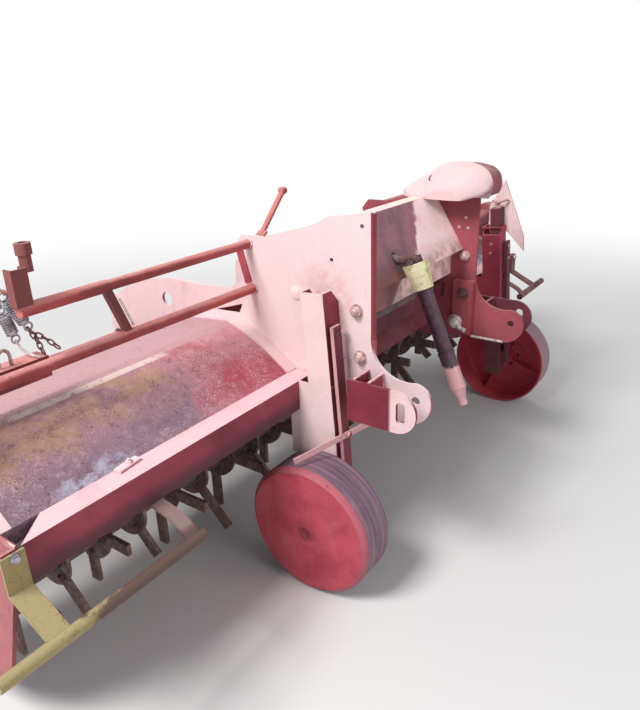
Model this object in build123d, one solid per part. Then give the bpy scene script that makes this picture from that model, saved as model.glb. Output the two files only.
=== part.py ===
from build123d import *
import math
import os

# Potato ridge former: a PTO-driven rotor under long hoods, carried by a three-point headstock,
# two land wheels in front and a hinged set of ridging bodies behind.
# Millimetres. X runs along the width (negative is the end nearest the camera), Y runs from the
# tractor side (negative) to the rear, Z is up from the ground. The origin is on the ground, in the
# middle of the machine's length and width.

# Driving dimensions: whole machine
LENGTH = 1702.0
FRONT = -LENGTH / 2
REAR = LENGTH / 2
END_X = 1632.0
END_PLATE = 12.0

# Headstock plates
PLATE_X = 450.0
PLATE = 12.0
PLATE_IN = PLATE_X - PLATE
PLATE_FRONT = FRONT + 227.0
PLATE_TOP = 1340.0
PLATE_BOTTOM = 645.0

# Front beams
BEAM_Y = PLATE_FRONT + 245.0
BEAM_DEEP = 78.0
BEAM_Z = 635.0
BEAM_HIGH = 110.0
BEAM_WALL = 6.0
BEAM_END = 1610.0
BEAM_CUT = 100.0
BEAM_TOP = BEAM_Z + BEAM_HIGH
BEAM_REAR = BEAM_Y + BEAM_DEEP

# Rotor hood sheets
HOOD = 5.0
HOOD_CREST = 899.0
HOOD_RISE_Y = 282.0
HOOD_BULGE = 18.0

# Rotor
ROTOR_Y = BEAM_REAR + 322.0
ROTOR_Z = 370.0
ROTOR_TUBE = 60.0
ROTOR_WALL = 8.0
ROTOR_FLANGE = 110.0
TINE_LONG = 280.0
TINE_SHORT = 200.0
TINE_WIDE = 40.0
TINE_THICK = 16.0
TINE_PITCH = 150.0
TINE_COUNT = 2 * int((END_X - 60.0) / TINE_PITCH) + 1
ROTOR_SHAFT = 30.0

# Rows
ROW = 750.0
ROWS = 4

# Rear rails above the hood
RAIL_LOW_Y = ROTOR_Y - 140.0
RAIL_LOW_Z = 1028.0
RAIL_LOW_R = 18.0
RAIL_HIGH_Y = RAIL_LOW_Y + 10.0
RAIL_HIGH_Z = 1192.0
RAIL_HIGH_R = 16.5
RAIL_HIGH_END = 1350.0
SLEEVE_R = 19.0
SLEEVE_IN = 1076.0

# Land wheels
WHEEL_R = 250.0
WHEEL_WIDE = 150.0
WHEEL_WALL = 8.0
WHEEL_Y = FRONT + 345.0
RUN_FIT = 0.3
HUB_R = 45.0
AXLE_R = 20.0
HOLDER_WIDE = 88.0
HOLDER_WALL = 6.0
HOLDER_DEEP = 95.0
HOLDER_LOW = 440.0
HOLDER_GAP = 14.0
CORNER_CUT = 38.0
CORNER_DROP = 46.0
SLIDE_FIT = 0.8
LEG_FOOT = 205.0
LEG_NECK = 46.0
LEG_LEAN = 4.2
DEPTH_STRAP = 14.0
DEPTH_STRAP_WIDE = 46.0
DEPTH_STRAP_GAP = 12.0
GUSSET = 8.0
SCRAPER_WIDE = 22.0
SCRAPER = 6.0

# Power shaft joint
JOINT_X = -95.0
JOINT_Y = PLATE_FRONT + 26.5
JOINT_Z = 1107.0
SHAFT_DROP = 67.0
SHAFT_LONG = 571.0
BALL_R = 24.0
STUB_R = 17.45
BALL_FIT = 0.5
CONE_R = 48.0
CONE_TOP = 8.0
CONE_END = 108.0

# Ridging bodies
RIDGER_LONG = 440.0
RIDGER_FRONT = REAR - RIDGER_LONG
RIDGE_HIGH = 336.0
RIDGE_TOP = 200.0
SKID_WIDE = 57.0
RIDGER_SHEET = 6.0
RIDGER_GAP = 8.0
APRON_TOP = 590.0
CROSS_BEAM = 90.0
CROSS_BEAM_Y = REAR - 231.0
CROSS_BEAM_Z = 620.0
CROSS_BEAM_WALL = 6.0
CROSS_BEAM_HALF = ROWS * ROW / 2 + 40.0
ARM = 12.0
ARM_CLEAR = 5.0
HINGE_R = 20.0
HINGE_BOSS = 55.0

os.makedirs("parts", exist_ok=True)


def outline(start, *moves):
    """A closed face: a move is an end point, or a pair (middle, end) for an arc."""
    here = start
    edges = []
    for move in moves:
        if isinstance(move[0], tuple):
            middle, end = move
            edges.append(ThreePointArc(here, middle, end))
        else:
            end = move
            edges.append(Line(here, end))
        here = end
    if here != start:
        edges.append(Line(here, start))
    return make_face(Curve() + edges)


def plate_x(face, x0, x1):
    """A plate across X: the face is drawn in (y, z)."""
    return extrude(Plane.YZ.offset(x0) * face, amount=x1 - x0)


def plate_y(face, y0, y1):
    """A plate along Y: the face is drawn in (x, z)."""
    return extrude(Plane.XZ.offset(-y0) * face, amount=y0 - y1)


def rod_x(y, z, radius, x0, x1):
    """A round bar along X."""
    return plate_x(Pos(y, z) * Circle(radius), x0, x1)


def rod(start, end, radius):
    """A round bar between two points."""
    axis = Vector(*end) - Vector(*start)
    return extrude(Plane(origin=start, z_dir=axis) * Circle(radius), amount=axis.length)


def block(x0, x1, y0, y1, z0, z1):
    """A box from its six limits."""
    centre = Pos((x0 + x1) / 2, (y0 + y1) / 2, (z0 + z1) / 2)
    return centre * Box(abs(x1 - x0), abs(y1 - y0), abs(z1 - z0))


def bent_sheet(points, thickness):
    """A sheet's section: the points are its outer side, the thickness lies to their right."""
    normals = []
    for a, b in zip(points, points[1:]):
        run = math.hypot(b[0] - a[0], b[1] - a[1])
        normals.append(((b[1] - a[1]) / run, -(b[0] - a[0]) / run))
    inner = []
    for i, (u, v) in enumerate(points):
        before = normals[max(i - 1, 0)]
        after = normals[min(i, len(normals) - 1)]
        share = thickness / (1 + before[0] * after[0] + before[1] * after[1])
        inner.append((u + share * (before[0] + after[0]), v + share * (before[1] + after[1])))
    return make_face(Polyline(*points, *reversed(inner), close=True))


def mirror_x(solid):
    """The same piece on the other side of the machine."""
    return mirror(solid, about=Plane.YZ)


def save(name, solid):
    """Writes one node."""
    export_step(solid, f"parts/{name}.step")


# Headstock side plates with the lower hitch hook, the doubler inside it and the bolt holes
HITCH_Y = FRONT + 55.0
HITCH_Z = 735.0
HITCH_BORE = 14.6
DOUBLER = 26.0
DOUBLER_DEEP = 90.0
DOUBLER_TOP = 905.0
DOUBLER_X = PLATE_IN - DOUBLER
PLATE_HOLES = (
    # y from the plate's front edge, z, radius
    (54.0, 1012.0, 13.0),
    (41.0, 849.0, 13.0),
    (152.0, 1174.0, 7.0),
    (12.0 + 20.0, 1296.0, 7.0),
)


def headstock_plate():
    """One side plate, drawn for the right-hand side."""
    front = PLATE_FRONT
    face = outline(
        (front, PLATE_TOP),
        (front, 919.0),
        ((front - 20.0, 851.0), (front - 60.0, 811.0)),
        ((front - 98.0, 795.0), (front - 142.0, 791.0)),
        (FRONT + 60.0, 795.0),
        ((FRONT + 14.0, 774.0), (FRONT, 735.0)),
        ((FRONT + 20.0, 675.0), (FRONT + 90.0, PLATE_BOTTOM)),
        (PLATE_FRONT + 80.0, PLATE_BOTTOM),
        (BEAM_Y - 10.0, PLATE_BOTTOM - 33.0),
        (BEAM_REAR + 50.0, 700.0),
        (ROTOR_Y - 21.0, 745.0),
        (ROTOR_Y + 180.0, 745.0),
        (ROTOR_Y + 290.0, 640.0),
        (ROTOR_Y + 305.0, 640.0),
        (ROTOR_Y + 305.0, 725.0),
        (ROTOR_Y + 190.0, HOOD_CREST + 4.0),
        (ROTOR_Y - 60.0, HOOD_CREST + 16.0),
        (RAIL_LOW_Y + 35.0, RAIL_LOW_Z - 20.0),
        (RAIL_LOW_Y + 33.0, RAIL_LOW_Z + 20.0),
        (RAIL_HIGH_Y + 62.0, RAIL_HIGH_Z - 10.0),
        (RAIL_HIGH_Y + 30.0, RAIL_HIGH_Z + 30.0),
        (ROTOR_Y - 196.0, RAIL_HIGH_Z + 30.0),
        (front + 347.0, 1250.0),
        (front + 235.0, 1280.0),
        (front + 154.0, 1319.0),
    )
    plate = plate_x(face, PLATE_IN, PLATE_X)
    plate += block(DOUBLER_X, PLATE_IN, front - 1.0, front + DOUBLER_DEEP, PLATE_BOTTOM + 15.0, DOUBLER_TOP)
    for along, height, radius in PLATE_HOLES:
        plate -= rod_x(front + along, height, radius, DOUBLER_X - 1, PLATE_X + 1)
    plate -= rod_x(HITCH_Y, HITCH_Z, HITCH_BORE, PLATE_IN - 1, PLATE_X + 1)
    return plate - rod_x(RAIL_LOW_Y, RAIL_LOW_Z, HINGE_R, PLATE_IN - 1, PLATE_X + 1)


save("headstock_plate_right", headstock_plate())
save("headstock_plate_left", mirror_x(headstock_plate()))

# Sheet cowl between the plates: roof, steep front panel, turned under at the power shaft
COWL = 4.0
COWL_FOLD_Y = PLATE_FRONT + 205.0
COWL_FOLD_Z = 1268.0
COWL_LIP_Y = PLATE_FRONT + 62.0
COWL_LIP_Z = 1040.0
COWL_BEND_Y = COWL_FOLD_Y + 40.0
COWL_BEND_Z = COWL_FOLD_Z + 6.0
COWL_REAR_Y = COWL_FOLD_Y + 250.0
COWL_REAR_Z = 1196.0
COWL_PORT = 22.0
cowl_face = bent_sheet(
    [
        (COWL_LIP_Y + 55.0, COWL_LIP_Z - 115.0),
        (COWL_LIP_Y + 55.0, COWL_LIP_Z - 12.0),
        (COWL_LIP_Y, COWL_LIP_Z),
        (COWL_FOLD_Y, COWL_FOLD_Z),
        (COWL_BEND_Y, COWL_BEND_Z),
        (COWL_REAR_Y, COWL_REAR_Z),
    ],
    COWL,
)
cowl = plate_x(cowl_face, -PLATE_IN, PLATE_IN)
cowl -= rod((JOINT_X, COWL_LIP_Y - 10.0, JOINT_Z), (JOINT_X, COWL_LIP_Y + 90.0, JOINT_Z), COWL_PORT)
save("headstock_cowl", cowl)

# Rounded cover over the drive coupling, on the right half of the headstock, and its drum outside
COVER_Z = 1262.0
COVER_SHEET = 5.0
COVER_NOSE = PLATE_FRONT - 50.0
COVER_HIGH = 146.0
COVER_CROWN = COVER_Z + COVER_HIGH
COVER_TAIL = PLATE_FRONT + 355.0
SHOULDER_NOSE = PLATE_FRONT + 60.0
SHOULDER_CROWN = COVER_Z + 0.26 * COVER_HIGH
SHOULDER_TAIL = PLATE_FRONT + 230.0
DRUM_INSET = 20.0
DRUM_END = 600.0
COVER_STEPS = (
    # x, share of the way from the shoulder's form to the full form
    (PLATE_IN - 118.0, 0.0),
    (PLATE_IN - 101.0, 0.35),
    (PLATE_IN - 71.0, 0.65),
    (PLATE_IN - 33.0, 0.90),
    (PLATE_IN - 1.0, 1.0),
)


def cover_face(nose, crown, tail, base):
    """The cover's section: nose reach, crown height, tail end and base height."""
    run = tail - nose
    rise = crown - COVER_Z
    return outline(
        (nose + 0.03 * run, base),
        ((nose, COVER_Z + 0.5 * rise), (nose + 0.148 * run, COVER_Z + 0.918 * rise)),
        ((nose + 0.37 * run, crown), (nose + 0.593 * run, COVER_Z + 0.848 * rise)),
        (tail, COVER_Z + 0.177 * rise),
        (tail, base),
    )


def cover_full(inset, base):
    """The cover's full section, drawn in by an inset."""
    return cover_face(COVER_NOSE + inset, COVER_CROWN - inset, COVER_TAIL - inset, base)


def cover_body(inset, base):
    """The cover's outer form, or with an inset the space inside it."""
    sections = []
    for x, share in COVER_STEPS:
        section = cover_face(
            SHOULDER_NOSE + share * (COVER_NOSE - SHOULDER_NOSE) + inset,
            SHOULDER_CROWN + share * (COVER_CROWN - SHOULDER_CROWN) - inset,
            SHOULDER_TAIL + share * (COVER_TAIL - SHOULDER_TAIL) - inset,
            base,
        )
        at = min(x + inset, PLATE_IN - 1.0 - inset)
        sections.append(Plane.YZ.offset(at) * section)
    return loft(sections)


cover = cover_body(0.0, COVER_Z) - cover_body(COVER_SHEET, COVER_Z - 30.0)
cover -= plate_x(
    make_face(Polyline(
        (COWL_LIP_Y, COVER_Z - 60.0),
        (COWL_FOLD_Y, COWL_FOLD_Z + 0.3),
        (COWL_BEND_Y, COWL_BEND_Z + 0.3),
        (COWL_REAR_Y, COWL_REAR_Z + 0.3),
        (COWL_REAR_Y, COVER_Z - 120.0),
        close=True,
    )),
    0.0,
    PLATE_X,
)
drum = plate_x(cover_full(DRUM_INSET, COVER_Z), PLATE_IN - 2.0, DRUM_END)
drum -= plate_x(cover_full(DRUM_INSET + COVER_SHEET, COVER_Z - 1), PLATE_IN - 3.0, DRUM_END - COVER_SHEET)
cover += drum - headstock_plate()
save("drive_cover", cover)

# Bridge across the headstock, and the gearbox on it
BRIDGE_Z = 820.0
BRIDGE_HIGH = 60.0
BRIDGE_Y = PLATE_FRONT + 145.0
BRIDGE_DEEP = 250.0
bridge = block(-PLATE_IN, PLATE_IN, BRIDGE_Y, BRIDGE_Y + BRIDGE_DEEP, BRIDGE_Z, BRIDGE_Z + BRIDGE_HIGH)
bridge -= block(
    -PLATE_IN - 1, PLATE_IN + 1,
    BRIDGE_Y + 8.0, BRIDGE_Y + BRIDGE_DEEP - 8.0,
    BRIDGE_Z + 8.0, BRIDGE_Z + BRIDGE_HIGH - 8.0,
)
save("gearbox_bridge", bridge)

GEARBOX_HALF = 140.0
GEARBOX_TOP = 1140.0
BOX_Z = BRIDGE_Z + BRIDGE_HIGH
gearbox = block(-GEARBOX_HALF, GEARBOX_HALF, BRIDGE_Y + 10.0, BRIDGE_Y + 240.0, BOX_Z, GEARBOX_TOP)
gearbox += block(
    -GEARBOX_HALF - 30.0, GEARBOX_HALF + 30.0, BRIDGE_Y, BRIDGE_Y + BRIDGE_DEEP, BOX_Z, BOX_Z + 25.0
)
gearbox += rod((JOINT_X, JOINT_Y, JOINT_Z), (JOINT_X, BRIDGE_Y + 20.0, JOINT_Z), STUB_R)
gearbox += Pos(JOINT_X, JOINT_Y, JOINT_Z) * Sphere(BALL_R)
save("gearbox", gearbox)

# Hood over the rotor between the plates
HOOD_KNEE_Z = HOOD_CREST - 179.0
HOOD_TAIL_Z = HOOD_CREST - 299.0
centre_face = bent_sheet(
    [
        (PLATE_FRONT + 154.0, 722.0),
        (PLATE_FRONT + 224.0, BRIDGE_Z),
        (BRIDGE_Y + BRIDGE_DEEP, BRIDGE_Z),
        (ROTOR_Y + 180.0, 768.0),
        (ROTOR_Y + 290.0, HOOD_TAIL_Z + 50.0),
    ],
    HOOD,
)
save("centre_hood", plate_x(centre_face, -PLATE_IN, PLATE_IN))

# Cross tube behind the gearbox
CROSS_TUBE_Y = RAIL_LOW_Y - 31.0
CROSS_TUBE_Z = 1140.0
CROSS_TUBE_R = 35.0
cross_tube = rod_x(CROSS_TUBE_Y, CROSS_TUBE_Z, CROSS_TUBE_R, -PLATE_IN, PLATE_IN)
cross_tube -= rod_x(CROSS_TUBE_Y, CROSS_TUBE_Z, CROSS_TUBE_R - 6.0, -PLATE_X, PLATE_X)
save("cross_tube", cross_tube)

# Front beams: box tubes with the outer end cut at a slant
beam = block(PLATE_X, BEAM_END, BEAM_Y, BEAM_REAR, BEAM_Z, BEAM_TOP)
beam -= block(
    PLATE_X - 1, BEAM_END + 1,
    BEAM_Y + BEAM_WALL, BEAM_REAR - BEAM_WALL,
    BEAM_Z + BEAM_WALL, BEAM_TOP - BEAM_WALL,
)
slant = make_face(Polyline(
    (BEAM_END, BEAM_Y), (BEAM_END + 50.0, BEAM_Y), (BEAM_END + 50.0, BEAM_REAR),
    (BEAM_END - BEAM_CUT, BEAM_REAR), close=True,
))
beam -= extrude(Plane.XY.offset(BEAM_Z - 1) * slant, amount=BEAM_HIGH + 2)
save("front_beam_right", beam)
save("front_beam_left", mirror_x(beam))

# Long hoods over the rotor, from the headstock to the end plates
HOOD_RUNS = 8
hood_points = [(BEAM_REAR, BEAM_TOP - 45.0)]
for i in range(HOOD_RUNS + 1):
    share = i / HOOD_RUNS
    rise = share * (HOOD_CREST - BEAM_TOP) + 4 * HOOD_BULGE * share * (1 - share)
    hood_points.append((BEAM_REAR + share * HOOD_RISE_Y, BEAM_TOP + rise))
hood_points += [
    (ROTOR_Y + 179.0, HOOD_CREST - 19.0),
    (ROTOR_Y + 289.0, HOOD_KNEE_Z),
    (ROTOR_Y + 304.0, HOOD_TAIL_Z),
]
hood = plate_x(bent_sheet(hood_points, HOOD), PLATE_X, END_X - END_PLATE)
save("rotor_hood_right", hood)
save("rotor_hood_left", mirror_x(hood))

# End plates, with an ear that holds the low rail
end_face = outline(
    (BEAM_Y + 4.0, BEAM_TOP),
    (BEAM_Y + 36.0, BEAM_Z - 10.0),
    (ROTOR_Y - 230.0, ROTOR_Z - 87.0),
    ((ROTOR_Y - 60.0, ROTOR_Z - 230.0), (ROTOR_Y + 150.0, ROTOR_Z - 220.0)),
    ((ROTOR_Y + 262.0, ROTOR_Z - 70.0), (ROTOR_Y + 304.0, HOOD_TAIL_Z)),
    (ROTOR_Y + 300.0, HOOD_KNEE_Z + 2.0),
    (ROTOR_Y + 190.0, HOOD_CREST - 10.0),
    (ROTOR_Y + 20.0, HOOD_CREST + 10.0),
    (RAIL_LOW_Y + 110.0, RAIL_LOW_Z + 12.0),
    (RAIL_LOW_Y + 35.0, RAIL_LOW_Z + 30.0),
    (RAIL_LOW_Y - 35.0, RAIL_LOW_Z + 30.0),
    (RAIL_LOW_Y - 45.0, HOOD_CREST - 20.0),
    (BEAM_REAR, BEAM_TOP + 12.0),
)
end_plate = plate_x(end_face, END_X - END_PLATE, END_X)
end_plate += block(END_X - END_PLATE, END_X + 28.0, BEAM_Y, BEAM_Y + 10.0, BEAM_Z + 10.0, BEAM_TOP)
end_plate -= rod_x(ROTOR_Y, ROTOR_Z, ROTOR_SHAFT + RUN_FIT, END_X - 50.0, END_X + 50.0)
end_plate -= rod_x(RAIL_LOW_Y, RAIL_LOW_Z, RAIL_LOW_R, END_X - 50.0, END_X + 50.0)
save("end_plate_right", end_plate)
save("end_plate_left", mirror_x(end_plate))

# Rails above the hoods and the leaning strap between them
low_rail = rod_x(RAIL_LOW_Y, RAIL_LOW_Z, RAIL_LOW_R, PLATE_X, END_X + 30.0)
high_rail = rod_x(RAIL_HIGH_Y, RAIL_HIGH_Z, RAIL_HIGH_R, PLATE_X, RAIL_HIGH_END)
high_rail += rod_x(RAIL_HIGH_Y, RAIL_HIGH_Z, SLEEVE_R, SLEEVE_IN, RAIL_HIGH_END)
save("low_rail_right", low_rail)
save("low_rail_left", mirror_x(low_rail))
save("high_rail_right", high_rail)
save("high_rail_left", mirror_x(high_rail))

STRAP_TOP_X = 1087.0
STRAP_FOOT_X = 1025.0
STRAP_WIDE = 26.0
STRAP_DEEP = 20.0
strap_y = RAIL_LOW_Y - 8.0
strap = plate_y(
    make_face(Polyline(
        (STRAP_TOP_X - STRAP_WIDE / 2, RAIL_HIGH_Z),
        (STRAP_TOP_X + STRAP_WIDE / 2, RAIL_HIGH_Z),
        (STRAP_FOOT_X + STRAP_WIDE / 2, RAIL_LOW_Z),
        (STRAP_FOOT_X - STRAP_WIDE / 2, RAIL_LOW_Z),
        close=True,
    )),
    strap_y,
    strap_y + STRAP_DEEP,
)
strap -= low_rail
strap -= high_rail
save("rail_strap_right", strap)
save("rail_strap_left", mirror_x(strap))

# Spring brackets on the ends of the high rails: a channel plate and its pin, on the left a tube socket
BRACKET_OUT = RAIL_HIGH_END + 10.0
BRACKET_WIDE = 46.0
BRACKET_SHEET = 6.0
BRACKET_DEEP = 34.0
BRACKET_Z0 = RAIL_HIGH_Z + SLEEVE_R - 6.0
BRACKET_Z1 = 1303.0
SOCKET_R = 21.0
SOCKET_WALL = 5.0
SOCKET_NECK = 16.0
SOCKET_Z0 = BRACKET_Z1 - 14.0
SOCKET_Z1 = 1363.0
SPRING_PIN_R = 6.0
SPRING_PIN_Z = RAIL_HIGH_Z + 44.0
BRACKET_IN = BRACKET_OUT - BRACKET_WIDE
PIN_X = BRACKET_OUT - 13.0
bracket_y = RAIL_HIGH_Y - BRACKET_DEEP / 2
bracket_rear = bracket_y + BRACKET_DEEP
bracket = block(BRACKET_IN, BRACKET_OUT, bracket_y, bracket_rear, BRACKET_Z0, BRACKET_Z1)
bracket -= block(
    BRACKET_IN + BRACKET_SHEET, BRACKET_OUT - BRACKET_SHEET,
    bracket_y + BRACKET_SHEET, bracket_rear + 1, BRACKET_Z0 - 1, BRACKET_Z1 + 1,
)
bracket -= high_rail
bracket += rod(
    (PIN_X, bracket_y + 1, SPRING_PIN_Z), (PIN_X, RAIL_HIGH_Y + 110.0, SPRING_PIN_Z), SPRING_PIN_R
)
socket_x = BRACKET_IN - SOCKET_NECK + 6.0
socket = rod((socket_x, RAIL_HIGH_Y, SOCKET_Z0), (socket_x, RAIL_HIGH_Y, SOCKET_Z1), SOCKET_NECK)
socket += rod((socket_x, RAIL_HIGH_Y, SOCKET_Z1 - 30.0), (socket_x, RAIL_HIGH_Y, SOCKET_Z1), SOCKET_R)
bore_z = SOCKET_Z0 + 10.0
bore_r = SOCKET_NECK - SOCKET_WALL
socket -= rod((socket_x, RAIL_HIGH_Y, bore_z), (socket_x, RAIL_HIGH_Y, SOCKET_Z1 + 1), bore_r)
save("spring_bracket_right", bracket)
save("spring_bracket_left", mirror_x(bracket + socket))

# Anchor channel behind the low rail, and the two relief springs between it and the bracket's pin
ANCHOR_IN = 1270.0
ANCHOR_SHEET = 5.0
ANCHOR_DEEP = 60.0
ANCHOR_HIGH = 61.0
ANCHOR_Y = RAIL_LOW_Y + RAIL_LOW_R + 30.0
ANCHOR_Z1 = RAIL_LOW_Z + 8.0
ANCHOR_Z0 = ANCHOR_Z1 - ANCHOR_HIGH
END_IN = END_X - END_PLATE
anchor = block(ANCHOR_IN, END_IN, ANCHOR_Y, ANCHOR_Y + ANCHOR_DEEP, ANCHOR_Z0, ANCHOR_Z1)
anchor -= block(
    ANCHOR_IN - 1, END_X,
    ANCHOR_Y + ANCHOR_SHEET, ANCHOR_Y + ANCHOR_DEEP - ANCHOR_SHEET,
    ANCHOR_Z0 - 1, ANCHOR_Z1 - ANCHOR_SHEET,
)
save("anchor_channel_right", anchor)
save("anchor_channel_left", mirror_x(anchor))

SPRING_R = 18.0
SPRING_WIRE = 5.0
HOOK_Z = SPRING_PIN_Z - SPRING_PIN_R
SPRINGS = (
    # y, top z, bottom x, bottom z
    (ANCHOR_Y + 20.0, HOOK_Z - 8.0, 1305.0, 1135.0),
    (ANCHOR_Y + 52.0, HOOK_Z - 52.0, 1328.0, 1100.0),
)
springs = []
for y, top_z, foot_x, foot_z in SPRINGS:
    spring = rod((PIN_X, y, top_z), (foot_x, y, foot_z), SPRING_R)
    spring += rod((PIN_X, y, HOOK_Z), (PIN_X, y, top_z - SPRING_R), SPRING_WIRE)
    spring += rod((foot_x, y, foot_z + SPRING_R), (foot_x, y, ANCHOR_Z1), SPRING_WIRE)
    springs.append(spring)
save("relief_springs_right", Compound(children=springs))
save("relief_springs_left", mirror_x(Compound(children=springs)))

# Guard rails in front of the beams' ends
GUARD_Y = BEAM_Y - 140.0
GUARD_Z = 560.0
GUARD_R = 17.0
GUARD_OUT = 1790.0
GUARD_ARM = 8.0
GUARD_FOOT = (GUARD_Y + 4.0, GUARD_Z + 6.0)
OUTER_ARM = bent_sheet([(BEAM_Y, BEAM_TOP - 5.0), (BEAM_Y, BEAM_Z), GUARD_FOOT], GUARD_ARM)
INNER_ARM = bent_sheet(
    [
        (BEAM_Y + 60.0, BEAM_Z - GUARD_ARM),
        (BEAM_Y + 5.0, BEAM_Z - GUARD_ARM),
        (BEAM_Y - 60.0, BEAM_Z - 22.0),
        (BEAM_Y - 108.0, BEAM_Z - 46.0),
        GUARD_FOOT,
    ],
    GUARD_ARM,
)
GUARD_SIDES = (
    # node, side, inner end of the rail, inner arm
    ("guard_rail_left", -1, 1180.0, 1215.0),
    ("guard_rail_right", 1, 1395.0, 1440.0),
)
for name, side, inner_end, inner_arm in GUARD_SIDES:
    rail = rod_x(GUARD_Y, GUARD_Z, GUARD_R, *sorted((side * inner_end, side * GUARD_OUT)))
    rail += plate_x(INNER_ARM, side * inner_arm - 22.0, side * inner_arm + 22.0)
    outer_arm = side * (END_X + 4.0)
    rail += plate_x(OUTER_ARM, outer_arm - 30.0, outer_arm + 30.0)
    save(name, rail)

# Lower hitch ears outside the headstock plates
EAR_X = 556.0
EAR = 12.0
EAR_Z0 = 660.0
EAR_Z1 = 808.0
ear_face = outline(
    (FRONT + 257.0, EAR_Z1),
    (FRONT + 74.0, EAR_Z1),
    ((FRONT, (EAR_Z0 + EAR_Z1) / 2), (FRONT + 74.0, EAR_Z0)),
    (FRONT + 257.0, EAR_Z0),
)
ear = plate_x(ear_face, EAR_X - EAR, EAR_X)
ear -= plate_x(Pos(HITCH_Y, HITCH_Z) * Rot(0, 0, 90) * SlotOverall(76.0, 33.0), EAR_X - EAR - 1, EAR_X + 1)
for web_y in (FRONT + 180.0, FRONT + 237.0):
    ear += block(PLATE_X, EAR_X - EAR, web_y, web_y + 8.0, EAR_Z0, EAR_Z1)
save("hitch_ear_right", ear)
save("hitch_ear_left", mirror_x(ear))

# Land wheels, their legs and the holders the legs slide in; leg and holder lean back at the top
WHEELS = (
    # side name, side, x of the face next to the leg, holder top, strap top, leg top
    ("left", -1, 552.0, 1080.0, 965.0, 1048.0),
    ("right", 1, 1150.0, 1020.0, 940.0, 1112.0),
)


def lean(solid):
    """Tips a piece that's drawn upright back about the wheel's axle."""
    return Pos(0, WHEEL_Y, WHEEL_R) * Rot(-LEG_LEAN, 0, 0) * Pos(0, -WHEEL_Y, -WHEEL_R) * solid


wheel_profile = make_face(Polyline(
    (0.0, AXLE_R + RUN_FIT), (WHEEL_WIDE, AXLE_R + RUN_FIT), (WHEEL_WIDE, WHEEL_R - 18.0),
    (WHEEL_WIDE - 18.0, WHEEL_R), (0.0, WHEEL_R), (0.0, WHEEL_R - WHEEL_WALL),
    (WHEEL_WIDE - WHEEL_WALL - 14.0, WHEEL_R - WHEEL_WALL),
    (WHEEL_WIDE - WHEEL_WALL, WHEEL_R - WHEEL_WALL - 14.0),
    (WHEEL_WIDE - WHEEL_WALL, HUB_R), (0.0, HUB_R), close=True,
))
wheel = revolve(wheel_profile, Axis.X)
wheel += rod_x(0, 0, HUB_R - 10.0, WHEEL_WIDE - 10.0, WHEEL_WIDE)
HOLDER_Y0 = WHEEL_Y - HOLDER_DEEP / 2
HOLDER_Y1 = WHEEL_Y + HOLDER_DEEP / 2
STRAP_Y1 = HOLDER_Y0 - DEPTH_STRAP_GAP
STRAP_Y0 = STRAP_Y1 - DEPTH_STRAP
gusset_face = make_face(Polyline(
    (BEAM_Y - 66.0, BEAM_TOP), (BEAM_Y, BEAM_TOP), (BEAM_Y, BEAM_Z), (BEAM_Y + 41.0, BEAM_Z),
    (BEAM_Y + 41.0, HOLDER_LOW + 10.0), (BEAM_Y - 66.0, HOLDER_LOW + 10.0), close=True,
))
SIDE_PLATE_Z = 1020.0
side_plate_face = make_face(Polyline(
    (WHEEL_Y + 28.0, SIDE_PLATE_Z + 226.0),
    (WHEEL_Y - 88.0, SIDE_PLATE_Z - 51.0),
    (WHEEL_Y - 95.0, SIDE_PLATE_Z - 129.0),
    (WHEEL_Y + 2.0, SIDE_PLATE_Z - 35.0),
    (WHEEL_Y + 36.0, SIDE_PLATE_Z - 50.0),
    (WHEEL_Y + 103.0, SIDE_PLATE_Z - 35.0),
    (WHEEL_Y + 103.0, SIDE_PLATE_Z + 90.0),
    close=True,
))
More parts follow.
